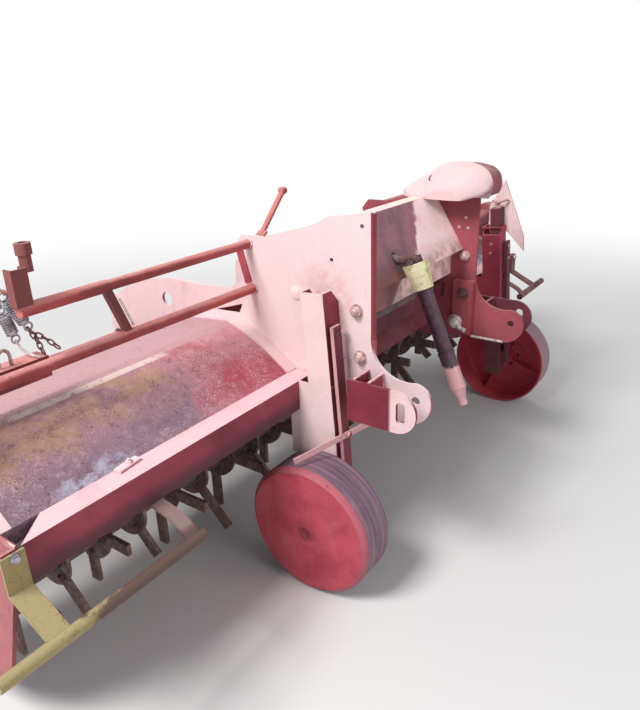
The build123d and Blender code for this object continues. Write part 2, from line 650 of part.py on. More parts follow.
for name, side, face_x, holder_top, strap_top, leg_top in WHEELS:
    leg_x1 = face_x - HOLDER_GAP
    leg_x0 = leg_x1 - HOLDER_WIDE
    holder = lean(block(leg_x0, leg_x1, HOLDER_Y0, HOLDER_Y1, HOLDER_LOW, holder_top))
    for gusset_x in (leg_x0, leg_x1 - GUSSET):
        holder += plate_x(gusset_face, gusset_x, gusset_x + GUSSET)
    if side > 0:
        holder += plate_x(side_plate_face, leg_x1, leg_x1 + GUSSET)
    holder -= lean(block(
        leg_x0 + HOLDER_WALL, leg_x1 - HOLDER_WALL,
        HOLDER_Y0 + HOLDER_WALL, HOLDER_Y1 - HOLDER_WALL, HOLDER_LOW - 1, holder_top + 1,
    ))
    corner = make_face(Polyline(
        (leg_x0 - 1, holder_top + 1), (leg_x0 - 1, holder_top - CORNER_DROP),
        (leg_x0 + CORNER_CUT, holder_top + 1), close=True,
    ))
    holder -= lean(plate_y(corner, HOLDER_Y0 - 1, HOLDER_Y1 + 1))
    inset = HOLDER_WALL + SLIDE_FIT
    neck_z = holder_top - 60.0
    neck_y = HOLDER_Y0 + inset + LEG_NECK
    leg = block(leg_x0 + inset, leg_x1 - inset, HOLDER_Y0 + inset, HOLDER_Y1 - inset, LEG_FOOT, neck_z)
    leg += block(leg_x0 + inset, leg_x1 - inset, HOLDER_Y0 + inset, neck_y, neck_z, leg_top)
    strap_x1 = leg_x1 - GUSSET
    strap_x0 = strap_x1 - DEPTH_STRAP_WIDE
    strap_x = (strap_x0 + strap_x1) / 2
    leg += block(strap_x0, strap_x1, STRAP_Y0, STRAP_Y1, 270.0, strap_top)
    leg += block(strap_x0, strap_x1, STRAP_Y0, HOLDER_Y0 + inset, 270.0, 330.0)
    leg -= rod((strap_x, STRAP_Y0 - 1, strap_top - 25.0), (strap_x, STRAP_Y1 + 1, strap_top - 25.0), 8.0)
    leg = lean(leg)
    leg += rod_x(WHEEL_Y, WHEEL_R, 40.0, leg_x1 - 40.0, leg_x1 + HOLDER_GAP - 6.0)
    leg += rod_x(WHEEL_Y, WHEEL_R, AXLE_R, leg_x1 - 20.0, face_x + WHEEL_WIDE - 30.0)
    scraper_in = Vector(face_x - 142.0, WHEEL_Y - 107.0, WHEEL_R + 345.0)
    scraper_out = Vector(face_x + 148.0, WHEEL_Y + 37.0, WHEEL_R + 276.0)
    scraper_run = scraper_out - scraper_in
    scraper_plane = Plane(origin=scraper_in, x_dir=(0, 0, 1), z_dir=scraper_run)
    leg += extrude(scraper_plane * Rectangle(SCRAPER_WIDE, SCRAPER), amount=scraper_run.length)
    bolt_z = WHEEL_R + 322.0
    leg += rod((strap_x, WHEEL_Y - 70.0, bolt_z), (strap_x, WHEEL_Y - 40.0, bolt_z), 8.0)
    running = Pos(face_x, WHEEL_Y, WHEEL_R) * wheel
    if side < 0:
        holder = mirror_x(holder)
        leg = mirror_x(leg)
        running = mirror_x(running)
    save(f"leg_holder_{name}", holder)
    save(f"wheel_leg_{name}", leg)
    save(f"land_wheel_{name}", running)

# Rotor: a tube with flanges and radial tines, longer over the furrows than over the ridges
TUBE_END = END_X - 30.0
STUB_END = TUBE_END - 60.0
rotor = rod_x(0, 0, ROTOR_TUBE, -TUBE_END, TUBE_END)
rotor -= rod_x(0, 0, ROTOR_TUBE - ROTOR_WALL, -STUB_END, STUB_END)
rotor += rod_x(0, 0, ROTOR_SHAFT, -END_X, -TUBE_END)
rotor += rod_x(0, 0, ROTOR_SHAFT, TUBE_END, END_X)
sections = []
for i in range(TINE_COUNT):
    x = (i - (TINE_COUNT - 1) / 2) * TINE_PITCH
    wave = math.cos(2 * math.pi * x / ROW)
    reach = (TINE_LONG + TINE_SHORT) / 2 + (TINE_LONG - TINE_SHORT) / 2 * wave
    section = rod_x(0, 0, ROTOR_FLANGE, x - 6.0, x + 6.0)
    for k in range(2):
        bar = Box(TINE_THICK, TINE_WIDE, 2 * reach)
        section += Pos(x, 0, 0) * Rot(45.0 * (i % 2) + 90.0 * k, 0, 0) * bar
    section -= rod_x(0, 0, ROTOR_TUBE - 1.0, x - 20.0, x + 20.0)
    sections.append(section)
rotor = rotor.fuse(*sections)
save("rotor", Pos(0, ROTOR_Y, ROTOR_Z) * rotor)

# Side drive on the right: tube from the headstock and the case on the end plate
DRIVE_Y = RAIL_LOW_Y - 71.0
DRIVE_Z = 960.0
DRIVE_R = 45.0
drive = rod_x(DRIVE_Y, DRIVE_Z, DRIVE_R, PLATE_X, END_X - END_PLATE)
drive -= rod_x(DRIVE_Y, DRIVE_Z, DRIVE_R - 6.0, PLATE_X - 1, END_X)
save("drive_tube", drive)
case_face = outline(
    (DRIVE_Y - 70.0, DRIVE_Z),
    ((DRIVE_Y + 20.0, DRIVE_Z + 75.0), (DRIVE_Y + 75.0, DRIVE_Z - 20.0)),
    (ROTOR_Y + 110.0, ROTOR_Z),
    ((ROTOR_Y, ROTOR_Z - 110.0), (ROTOR_Y - 110.0, ROTOR_Z)),
)
case = plate_x(case_face, END_X, END_X + 70.0)
case -= rod_x(ROTOR_Y, ROTOR_Z, ROTOR_SHAFT + RUN_FIT, END_X - 1, END_X + 10.0)
case -= rod_x(RAIL_LOW_Y, RAIL_LOW_Z, RAIL_LOW_R + 3.0, END_X - 1, END_X + 80.0)
save("side_drive_case", case)

# Hinged ridging set: arms, cross beam and one body for each row
arm_face = outline(
    (RAIL_LOW_Y, RAIL_LOW_Z + HINGE_BOSS),
    (ROTOR_Y, 1003.0),
    (ROTOR_Y + 195.0, 994.0),
    ((ROTOR_Y + 530.0, 955.0), (REAR - 81.0, 835.0)),
    (REAR - 75.0, 785.0),
    (REAR - 75.0, CROSS_BEAM_Z + 20.0),
    (CROSS_BEAM_Y + CROSS_BEAM, CROSS_BEAM_Z + 20.0),
    (CROSS_BEAM_Y + CROSS_BEAM, CROSS_BEAM_Z + CROSS_BEAM),
    (CROSS_BEAM_Y, CROSS_BEAM_Z + CROSS_BEAM),
    (CROSS_BEAM_Y, CROSS_BEAM_Z + 20.0),
    (CROSS_BEAM_Y - 60.0, CROSS_BEAM_Z + 20.0),
    (CROSS_BEAM_Y - 100.0, 740.0),
    (ROTOR_Y + 310.0, 800.0),
    (ROTOR_Y + 80.0, 905.0),
    (RAIL_LOW_Y, RAIL_LOW_Z - HINGE_BOSS),
    ((RAIL_LOW_Y - HINGE_BOSS, RAIL_LOW_Z), (RAIL_LOW_Y, RAIL_LOW_Z + HINGE_BOSS)),
)
arm_x1 = PLATE_IN - ARM_CLEAR
arm = plate_x(arm_face, arm_x1 - ARM, arm_x1)
arm -= rod_x(ROTOR_Y + 359.0, 904.0, 30.0, arm_x1 - ARM - 1, arm_x1 + 1)
arm += rod_x(RAIL_LOW_Y, RAIL_LOW_Z, HINGE_R - RUN_FIT, arm_x1 - ARM, PLATE_X - 1.0)
save("ridger_arm_right", arm)
save("ridger_arm_left", mirror_x(arm))

beam_low = CROSS_BEAM_Z + CROSS_BEAM_WALL
cross_beam = block(
    -CROSS_BEAM_HALF, CROSS_BEAM_HALF,
    CROSS_BEAM_Y, CROSS_BEAM_Y + CROSS_BEAM, CROSS_BEAM_Z, CROSS_BEAM_Z + CROSS_BEAM,
)
cross_beam -= block(
    -CROSS_BEAM_HALF - 1, CROSS_BEAM_HALF + 1,
    CROSS_BEAM_Y + CROSS_BEAM_WALL, CROSS_BEAM_Y + CROSS_BEAM - CROSS_BEAM_WALL,
    beam_low, CROSS_BEAM_Z + CROSS_BEAM - CROSS_BEAM_WALL,
)
save("ridger_beam", cross_beam)

half = ROW / 2 - RIDGER_GAP / 2
skid = half - SKID_WIDE
former_points = [
    (-half, RIDGER_SHEET),
    (-skid, RIDGER_SHEET),
    (-RIDGE_TOP / 2, RIDGE_HIGH),
    (RIDGE_TOP / 2, RIDGE_HIGH),
    (skid, RIDGER_SHEET),
    (half, RIDGER_SHEET),
]
former = plate_y(bent_sheet(former_points, RIDGER_SHEET), RIDGER_FRONT, REAR)
apron = make_face(Polyline(*former_points, (half, APRON_TOP), (-half, APRON_TOP), close=True))
former += plate_y(apron, RIDGER_FRONT, RIDGER_FRONT + RIDGER_SHEET)
for post_x in (-70.0, 70.0):
    former += block(
        post_x - 5.0, post_x + 5.0,
        CROSS_BEAM_Y + 5.0, CROSS_BEAM_Y + CROSS_BEAM - 5.0,
        RIDGE_HIGH, CROSS_BEAM_Z,
    )
for i in range(ROWS):
    x = (i - (ROWS - 1) / 2) * ROW
    save(f"ridging_body_{i + 1}", Pos(x, 0, 0) * former)

# Half power shaft, hanging from the ball on the gearbox: drawn straight down, then swung forward
tube_profile = make_face(Polyline(
    (0, -70.0), (28.0, -70.0), (28.0, -360.0), (30.5, -362.0), (30.5, -500.0), (17.0, -548.0),
    (17.0, -SHAFT_LONG), (0, -SHAFT_LONG), close=True,
))
upright = revolve(Plane.XZ * tube_profile, Axis.Z)
upright += rod((0, 0, -BALL_R - 10.0), (0, 0, -CONE_END - 5.0), 30.0)
for side in (-1, 1):
    cheek_x = side * (BALL_R + BALL_FIT + 6.0)
    upright += block(cheek_x - 6.0, cheek_x + 6.0, -14.0, 14.0, -46.0, 16.0)
swing = Pos(JOINT_X, JOINT_Y, JOINT_Z) * Rot(-(90.0 - SHAFT_DROP), 0, 0)
save("pto_shaft", swing * upright)
cone_profile = make_face(Polyline(
    (CONE_R - 4.0, -CONE_TOP), (CONE_R, -CONE_TOP), (0.76 * CONE_R, -CONE_END), (30.3, -CONE_END),
    (30.3, 4.0 - CONE_END), (0.76 * CONE_R - 3.5, 4.0 - CONE_END), close=True,
))
cone = revolve(Plane.XZ * cone_profile, Axis.Z)
save("pto_cone", swing * cone)
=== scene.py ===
# %% [markdown]
# # A potato ridge former in Blender
# This farm machine works up four rows of soil under its long hoods and shapes them into ridges.
# It has stood outdoors for years, so its red paint is bleached, stained and rusty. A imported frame
# holds every rigid piece at its true size, in metres. This notebook loads that frame, gives each
# piece the finish it has on the real machine, and adds the pieces that are too fine for the frame:
# bolts, washers, welds, coil springs, chains and levers.

# %% Load the frame
import math
from collections import namedtuple

import bmesh
import bpy
import numpy as np
from mathutils import Matrix, Vector


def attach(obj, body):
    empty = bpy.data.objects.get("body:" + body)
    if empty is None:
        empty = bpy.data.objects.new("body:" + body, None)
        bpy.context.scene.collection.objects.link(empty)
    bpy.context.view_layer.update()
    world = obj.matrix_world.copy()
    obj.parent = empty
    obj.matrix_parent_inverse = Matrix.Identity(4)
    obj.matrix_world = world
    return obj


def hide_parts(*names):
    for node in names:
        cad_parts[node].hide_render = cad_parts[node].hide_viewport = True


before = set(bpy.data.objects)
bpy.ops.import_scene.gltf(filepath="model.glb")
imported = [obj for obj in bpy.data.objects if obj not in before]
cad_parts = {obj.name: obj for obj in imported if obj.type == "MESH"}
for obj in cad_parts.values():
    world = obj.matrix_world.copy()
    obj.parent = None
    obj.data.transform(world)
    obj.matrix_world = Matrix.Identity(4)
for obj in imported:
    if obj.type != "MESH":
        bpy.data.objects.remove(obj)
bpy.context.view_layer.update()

print("frame loaded:", len(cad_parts), "rigid pieces")

# %% [markdown]
# The camera stands where the photograph was taken: in front of the machine, off its left end, and
# a little higher than its hoods. It could be aimed with angles, but the three directions of its
# picture (to the right, to the top, towards the viewer) are easier to measure from straight lines
# in a picture, so they are what the matrix is built from.

# %% Camera
camera_data = bpy.data.cameras.new("camera")
camera_data.sensor_width = 36.0
camera_data.lens = 32.96
camera = bpy.data.objects.new("camera", camera_data)
bpy.context.scene.collection.objects.link(camera)
to_right = Vector((0.5731, -0.8189, -0.0295))
to_top = Vector((0.3242, 0.1935, 0.9260))
to_back = to_right.cross(to_top).normalized()
to_top = to_back.cross(to_right).normalized()
turned = Matrix((to_right.normalized(), to_top, to_back)).transposed().to_4x4()
camera.matrix_world = Matrix.Translation((-2.20, -1.669, 1.696)) @ turned
bpy.context.scene.camera = camera
print("camera at", [round(v, 3) for v in camera.location])

# %% [markdown]
# A studio for a dusty red machine is simple: a white surround, one large soft lamp high on the left
# where the sun stood, and weaker ones in front and behind. The surround looks white to the camera
# and in reflections, but lights the machine less than that, so that pale paint keeps its colour.
# An area lamp shines along its own -Z, so it is turned until that axis points at its target.

# %% World and lights
world = bpy.data.worlds.new("surround")
bpy.context.scene.world = world
world.use_nodes = True
sky = world.node_tree
ray = sky.nodes.new("ShaderNodeLightPath")
camera_or_gloss = sky.nodes.new("ShaderNodeMath")
camera_or_gloss.operation = "MAXIMUM"
or_glass = sky.nodes.new("ShaderNodeMath")
or_glass.operation = "MAXIMUM"
sky.links.new(ray.outputs["Is Camera Ray"], camera_or_gloss.inputs[0])
sky.links.new(ray.outputs["Is Glossy Ray"], camera_or_gloss.inputs[1])
sky.links.new(camera_or_gloss.outputs[0], or_glass.inputs[0])
sky.links.new(ray.outputs["Is Transmission Ray"], or_glass.inputs[1])
backdrop = sky.nodes.new("ShaderNodeBackground")
backdrop.inputs["Color"].default_value = (1, 1, 1, 1)
backdrop.inputs["Strength"].default_value = 1.0
dome = sky.nodes["Background"]
dome.inputs["Color"].default_value = (0.90, 0.94, 1.0, 1)
dome.inputs["Strength"].default_value = 0.36
seen_or_not = sky.nodes.new("ShaderNodeMixShader")
sky.links.new(or_glass.outputs[0], seen_or_not.inputs["Fac"])
sky.links.new(dome.outputs[0], seen_or_not.inputs[1])
sky.links.new(backdrop.outputs[0], seen_or_not.inputs[2])
sky.links.new(seen_or_not.outputs[0], sky.nodes["World Output"].inputs["Surface"])


def soft_light(name, place, target, side, watts, tint=(1.0, 1.0, 1.0)):
    """A square lamp at place that faces target: its normal is the line between the two."""
    data = bpy.data.lights.new(name, "AREA")
    data.size = side
    data.energy = watts
    data.color = tint
    lamp = bpy.data.objects.new(name, data)
    lamp.location = place
    lamp.rotation_euler = (Vector(target) - Vector(place)).to_track_quat("-Z", "Y").to_euler()
    bpy.context.scene.collection.objects.link(lamp)


soft_light("sun_side_lamp", (-4.9, 0.7, 6.2), (0, 0, 0.6), 2.4, 500, (1.0, 0.985, 0.975))
soft_light("front_lamp", (-0.5, -7.0, 3.0), (0, 0, 0.6), 4.0, 125)
soft_light("rear_lamp", (5.2, 4.4, 3.8), (0, 0, 0.6), 4.0, 140)
bpy.context.scene.view_settings.view_transform = "Standard"

# %% [markdown]
# The floor has to keep the machine's shadow, yet vanish into the white surround. One material does
# both: near the machine it is a pale matt floor, and further out it fades to the surround's own
# white. Its distance from the middle comes from the floor's own coordinates, so the fade is the
# same from every side.

# %% Floor
FLOOR_HALF = 14.0
floor_mesh = bpy.data.meshes.new("floor")
floor_corners = FLOOR_HALF * np.array([(-1, -1, 0), (1, -1, 0), (1, 1, 0), (-1, 1, 0)]) - (
    0, 0, 0.001
)
floor_mesh.from_pydata(floor_corners.tolist(), [], [(0, 1, 2, 3)])
floor = bpy.data.objects.new("floor", floor_mesh)
bpy.context.scene.collection.objects.link(floor)

floor_paint = bpy.data.materials.new("pale_floor")
floor_paint.use_nodes = True
floor_tree = floor_paint.node_tree
matt = floor_tree.nodes["Principled BSDF"]
matt.inputs["Base Color"].default_value = (0.80, 0.79, 0.78, 1)
matt.inputs["Roughness"].default_value = 0.9
matt.inputs["Specular IOR Level"].default_value = 0.1
floor_spot = floor_tree.nodes.new("ShaderNodeTexCoord")
from_middle = floor_tree.nodes.new("ShaderNodeVectorMath")
from_middle.operation = "LENGTH"
fade = floor_tree.nodes.new("ShaderNodeMapRange")
fade.interpolation_type = "SMOOTHSTEP"
fade.inputs["From Min"].default_value = 2.6
fade.inputs["From Max"].default_value = 6.5
glow = floor_tree.nodes.new("ShaderNodeEmission")
glow.inputs["Color"].default_value = (1, 1, 1, 1)
matt_or_glow = floor_tree.nodes.new("ShaderNodeMixShader")
floor_tree.links.new(floor_spot.outputs["Object"], from_middle.inputs[0])
floor_tree.links.new(from_middle.outputs["Value"], fade.inputs["Value"])
floor_ray = floor_tree.nodes.new("ShaderNodeLightPath")
seen_fade = floor_tree.nodes.new("ShaderNodeMath")
seen_fade.operation = "MULTIPLY"
floor_tree.links.new(fade.outputs["Result"], seen_fade.inputs[0])
floor_tree.links.new(floor_ray.outputs["Is Camera Ray"], seen_fade.inputs[1])
floor_tree.links.new(seen_fade.outputs[0], matt_or_glow.inputs["Fac"])
floor_tree.links.new(matt.outputs[0], matt_or_glow.inputs[1])
floor_tree.links.new(glow.outputs[0], matt_or_glow.inputs[2])
floor_tree.links.new(matt_or_glow.outputs[0], floor_tree.nodes["Material Output"].inputs["Surface"])
floor_mesh.materials.append(floor_paint)
print("floor half width", FLOOR_HALF, "m")

# %% [markdown]
# Every finish below is a node tree made of the same few steps: find the spot on the machine, make a
# noise of a given size there, turn it into a soft-edged mask, and mix a colour in where the mask is
# white. Wiring those by hand each time hides the recipe, so a small helper class gives the steps
# short names. All patterns read Object coordinates. Every object sits at the origin, so these are
# metres on the machine, and a stain keeps its size from piece to piece.

# %% Helpers for finishes
def seen(red, green, blue):
    """A colour as a picture shows it, 0 to 255, as shaders mix it: the sRGB curve undone."""
    share = np.array([red, green, blue]) / 255.0
    light = np.where(share <= 0.04045, share / 12.92, ((share + 0.055) / 1.055) ** 2.4)
    return (*light.tolist(), 1.0)


class Finish:
    """One material under construction, with short words for the nodes that these finishes use."""

    def __init__(self, name, rough=0.6, metal=0.0, gloss=0.35):
        self.material = bpy.data.materials.new(name)
        self.material.use_nodes = True
        self.tree = self.material.node_tree
        self.shader = self.tree.nodes["Principled BSDF"]
        self.shader.inputs["Metallic"].default_value = metal
        self.shader.inputs["Roughness"].default_value = rough
        self.shader.inputs["Specular IOR Level"].default_value = gloss
        place = self.tree.nodes.new("ShaderNodeTexCoord")
        self.spot = place.outputs["Object"]
        self.normal = place.outputs["Normal"]
        self.axes = self.add("ShaderNodeSeparateXYZ", [(0, self.spot)]).outputs

    def add(self, kind, values=(), **settings):
        """A node with its settings; each value goes to the socket named or numbered before it."""
        node = self.tree.nodes.new(kind)
        for key, value in settings.items():
            setattr(node, key, value)
        for socket, value in values:
            self.give(node.inputs[socket], value)
        return node

    def give(self, socket, value):
        """Links an output to the socket, or writes a plain number or colour into it."""
        if isinstance(value, bpy.types.NodeSocket):
            self.tree.links.new(value, socket)
        else:
            socket.default_value = value

    def calc(self, operation, a, b=0.0):
        """One step of arithmetic on one or two numbers; the five below are its shorter names."""
        return self.add("ShaderNodeMath", [(0, a), (1, b)], operation=operation).outputs[0]

    def times(self, first, *others):
        for other in others:
            first = self.calc("MULTIPLY", first, other)
        return first

    def plus(self, a, b):
        return self.calc("ADD", a, b)

    def minus(self, a, b):
        return self.calc("SUBTRACT", a, b)

    def larger(self, a, b):
        return self.calc("MAXIMUM", a, b)

    def size(self, a):
        return self.calc("ABSOLUTE", a)

    def uneven(self, value, noise, amount):
        """The value with a share of a noise on it, so that a border between colours runs ragged."""
        return self.plus(value, self.times(self.minus(noise, 0.5), amount))

    def from_line(self, y, z):
        """How far the spot is from the line along X through (y, z), by the sum of two squares."""
        off_y, off_z = self.minus(self.axes[1], y), self.minus(self.axes[2], z)
        return self.calc("SQRT", self.plus(self.times(off_y, off_y), self.times(off_z, off_z)))

    def noise(self, size, detail=3.0, stretch=(1.0, 1.0, 1.0), shift=0.0):
        """Cloudy noise, 0.3 to 0.7, with features of a size in metres, squeezed by stretch."""
        moved = self.add(
            "ShaderNodeMapping", [
                ("Vector", self.spot), ("Location", (shift,) * 3), ("Scale", stretch)
            ]
        )
        values = [
            ("Vector", moved.outputs[0]),
            ("Scale", 1.0 / size),
            ("Detail", detail),
            ("Roughness", 0.62),
        ]
        return self.add("ShaderNodeTexNoise", values).outputs[0]

    def mask(self, value, low, high):
        """A soft step: 0 below low, 1 above high, and the other way round if low is the larger."""
        values = [("Value", value), ("From Min", low), ("From Max", high)]
        return self.add(
            "ShaderNodeMapRange", values, interpolation_type="SMOOTHSTEP"
        ).outputs["Result"]

    def faces(self, x, y, z):
        """How squarely the surface faces a direction: the cosine of the angle between the two."""
        towards = Vector((x, y, z)).normalized()
        values = [(0, self.normal), (1, towards)]
        return self.add("ShaderNodeVectorMath", values, operation="DOT_PRODUCT").outputs["Value"]

    def edges(self, radius):
        """1 on edges and corners, 0 on flats: how far a rounded normal turns from the true one."""
        rounded = self.add("ShaderNodeBevel", [("Radius", radius)], samples=4)
        flat = self.add("ShaderNodeNewGeometry").outputs["Normal"]
        values = [(0, rounded.outputs[0]), (1, flat)]
        agree = self.add("ShaderNodeVectorMath", values, operation="DOT_PRODUCT").outputs["Value"]
        return self.mask(agree, 0.99, 0.90)

    def coat(self, under, over, share, amount=None):
        """Lays one colour over another where share is 1, or by amount there if one is given."""
        if amount is not None:
            share = self.times(share, amount)
        values = [("Factor", share), (6, under), (7, over)]
        return self.add("ShaderNodeMix", values, data_type="RGBA").outputs[2]

    def finish(self, colour, roughness=None, height=None, depth=0.001):
        """Wires the colour, roughness and bump into the shader and hands over the material."""
        self.give(self.shader.inputs["Base Color"], colour)
        if roughness is not None:
            self.give(self.shader.inputs["Roughness"], roughness)
        if height is not None:
            values = [("Height", height), ("Distance", depth), ("Strength", 1.0)]
            bump = self.add("ShaderNodeBump", values)
            self.give(self.shader.inputs["Normal"], bump.outputs[0])
        return self.material


print("finish steps ready:", [word for word in dir(Finish) if word[0] != "_"])

# %% [markdown]
# Old red paint wears the same way all over the machine, only more or less: the side that faces the
# sun is painted a chalky pink and sheltered faces a deep red, partly for real sun fading and partly
# as painted light and shade; rain draws streaks down the sides, rust breaks out in small spots and
# along edges, dust lies on what faces up, and dry soil sticks near the ground. One recipe with a
# table of amounts suits this better than a dozen hand-made materials, because pieces that were
# painted together then look as if they were.

# %% Old paint
# SUNWARD points towards the sun-side lamp. The paler coat on faces towards it is partly real sun
# fading and partly painted light.
SUNWARD = (-0.80, 0.00, 0.60)
Paint = namedtuple(
    "Paint",
    "name pale fresh deep sun streak rust grime dust lit low scuff",
    defaults=(None, None, None),
)


def old_paint(look):
    """Fresh and deep red by a broad noise, then a pale coat on the sunward side (sun fading and
    painted light), streaks, grime, dust, soil and rust.
    """
    f = Finish(look.name, gloss=0.3)
    cloud = f.noise(0.32, 4.0)
    mottle = f.noise(0.055, 4.0, shift=3.1)
    grain = f.noise(0.006, 2.0, shift=1.7)
    colour = f.coat(seen(*look.deep), seen(*look.fresh), f.mask(cloud, 0.30, 0.66))
    colour = f.coat(colour, seen(*look.deep), f.mask(mottle, 0.48, 0.76), 0.40)
    # Pale coat on faces towards SUNWARD: partly sun fading, partly painted light.
    sunlit = f.mask(f.uneven(f.faces(*SUNWARD), cloud, 0.7), 0.14, 0.50)
    patchy = f.mask(f.plus(mottle, f.times(grain, 0.25)), 0.30, 0.56)
    bleach_and_light = f.times(sunlit, f.times(f.plus(f.times(patchy, 0.16), 0.84), look.sun))
    # Painted shade: past the line given by lit the pale coat is left off, so that part stays dark
    # red.
    if look.lit:
        axis, dark_end, lit_end = look.lit
        bleach_and_light = f.times(bleach_and_light, f.mask(f.axes[axis], dark_end, lit_end))
    colour = f.coat(colour, seen(*look.pale), bleach_and_light)
    if look.scuff:
        scuff_y, scuff_z, reach = look.scuff
        off = f.uneven(f.from_line(scuff_y, scuff_z), mottle, 0.10)
        scuffed = f.times(
            f.mask(off, reach, reach * 0.3), f.mask(f.noise(0.035, 6.0, shift=7.0), 0.36, 0.66)
        )
        colour = f.coat(colour, seen(230, 172, 172), scuffed, 0.6)
    rain = f.noise(0.045, 3.0, stretch=(1.0, 1.0, 0.13), shift=5.3)
    upright = f.mask(f.size(f.faces(0, 0, 1)), 0.75, 0.35)
    streaks = f.times(f.mask(rain, 0.54, 0.72), upright, look.streak)
    colour = f.coat(colour, seen(118, 70, 66), streaks)
    dirt = f.times(f.mask(f.noise(0.11, 5.0, shift=8.8), 0.46, 0.74), look.grime)
    colour = f.coat(colour, seen(92, 66, 66), dirt, 0.75)
    settled = f.times(f.mask(f.faces(0, 0, 1), 0.45, 0.95), f.mask(mottle, 0.36, 0.60))
    colour = f.coat(colour, seen(224, 206, 192), settled, look.dust)
    soil = f.times(f.mask(f.axes[2], 0.55, 0.02), f.mask(f.noise(0.05, 5.0, shift=2.2), 0.42, 0.62))
    colour = f.coat(colour, seen(108, 88, 76), soil, 0.55)
    # Darker towards the bottom: upright faces below the heights in low turn a dark purple brown.
    if look.low:
        even_above, dark_below = look.low
        ragged = f.uneven(f.axes[2], mottle, 0.05)
        low_darkening = f.times(f.mask(ragged, even_above, dark_below), upright)
        colour = f.coat(colour, seen(74, 46, 54), low_darkening, 0.85)
    spots = f.mask(f.plus(f.noise(0.007, 3.0, shift=6.1), f.times(mottle, 0.4)), 0.86, 0.93)
    rubbed = f.times(f.edges(0.004), f.mask(f.noise(0.02, 3.0, shift=4.4), 0.44, 0.58))
    rusty = f.times(f.larger(spots, rubbed), look.rust)
    colour = f.coat(colour, seen(112, 58, 42), rusty)
    roughness = f.plus(f.times(grain, 0.35), f.plus(f.times(rusty, 0.2), 0.42))
    height = f.plus(f.times(grain, 0.30), f.plus(f.times(mottle, 0.6), rusty))
    return f.finish(colour, roughness, height, 0.0012)


# %% [markdown]
# The table below has one row for each kind of painted piece. Its three colours go from bleached to
# deep, and the amounts say how much of each kind of wear lies on them; the pale coat that sun lays
# on the sunward faces is partly fading and partly painted light. Three last columns are for pieces
# that the sun strikes in part: where the light ends, past which the pale coat is left off as
# painted shade; below what height upright faces turn darker; and where a plate was rubbed.

# %% Paint table
PAINTS = [
    # pale, fresh and deep colour; lit (axis, dark end, lit end); low (even above, dark below);
    # scuff (y, z, reach)
    Paint("bleached_plate", (240, 214, 215), (172, 84, 94), (140, 54, 66),
          sun=0.99, streak=0.03, rust=0.30, grime=0.04, dust=0.2, scuff=(-0.450, 1.070, 0.140)),
    Paint("shaded_plate", (226, 160, 164), (164, 68, 82), (130, 48, 62),
          sun=0.12, streak=0.12, rust=0.40, grime=0.25, dust=0.2),
    # cover: painted shade, past x 0.456 the pale coat is left off, where the rim shades the drum
    # beyond it.
    Paint("cover_paint", (240, 206, 208), (150, 82, 88), (104, 52, 60),
          sun=0.97, streak=0.04, rust=0.20, grime=0.12, dust=0.3, lit=(0, 0.456, 0.442)),
    Paint("pale_rim", (246, 218, 218), (230, 180, 182), (170, 100, 106),
          sun=0.97, streak=0.05, rust=0.30, grime=0.05, dust=0.2),
    Paint("collar_paint", (240, 210, 212), (222, 168, 172), (170, 96, 104),
          sun=0.97, streak=0.05, rust=0.30, grime=0.08, dust=0.2),
    Paint("inside_red", (150, 74, 86), (112, 42, 56), (76, 26, 40),
          sun=0.30, streak=0.15, rust=0.40, grime=0.40, dust=0.2),
    # plate edges: a darker red, painted shade on the edge strips.
    Paint("edge_shade_red", (190, 96, 104), (156, 54, 66), (116, 38, 50),
          sun=0.40, streak=0.10, rust=0.40, grime=0.25, dust=0.1),
    Paint("beam_paint", (250, 206, 212), (156, 66, 80), (112, 42, 56),
          sun=0.88, streak=0.12, rust=0.40, grime=0.25, dust=0.1, low=(0.700, 0.650)),
    Paint("rail_paint", (216, 134, 130), (170, 76, 72), (118, 50, 50),
          sun=0.80, streak=0.05, rust=0.50, grime=0.30, dust=0.2),
    Paint("bracket_paint", (156, 96, 92), (120, 62, 60), (84, 42, 44),
          sun=0.65, streak=0.08, rust=0.70, grime=0.40, dust=0.2),
    Paint("holder_paint", (240, 212, 212), (150, 60, 76), (108, 36, 52),
          sun=0.98, streak=0.06, rust=0.30, grime=0.12, dust=0.1),
    # right holder: painted shade, the holder faces stay dark red where the headstock shades them;
    # only the plate past x 1.134 gets the pale coat.
    Paint("holder_painted_shade", (250, 220, 220), (168, 66, 82), (112, 38, 52),
          sun=0.95, streak=0.10, rust=0.35, grime=0.20, dust=0.2, lit=(0, 1.128, 1.134)),
    # left ear: painted shadow, the rear part of its face, behind y -0.750, keeps no pale coat.
    Paint("ear_paint", (240, 208, 210), (160, 60, 78), (120, 42, 58),
          sun=0.98, streak=0.08, rust=0.35, grime=0.15, dust=0.1, lit=(1, -0.750, -0.764)),
    # right ear and right leg: a darker copy of the ear paint, painted shade where the machine
    # shades them.
    Paint("painted_shade_red", (130, 68, 80), (92, 38, 50), (70, 28, 40),
          sun=0.40, streak=0.10, rust=0.40, grime=0.35, dust=0.1),
    Paint("leg_paint", (224, 172, 174), (124, 52, 64), (84, 32, 46),
          sun=0.85, streak=0.12, rust=0.45, grime=0.40, dust=0.2),
    Paint("arm_paint", (242, 208, 210), (212, 146, 148), (140, 68, 76),
          sun=0.96, streak=0.12, rust=0.35, grime=0.10, dust=0.2),
    Paint("rear_red", (204, 124, 126), (152, 66, 74), (100, 40, 52),
          sun=0.65, streak=0.20, rust=0.50, grime=0.30, dust=0.2),
]
finishes = {look.name: old_paint(look) for look in PAINTS}
print("paints:", ", ".join(finishes))
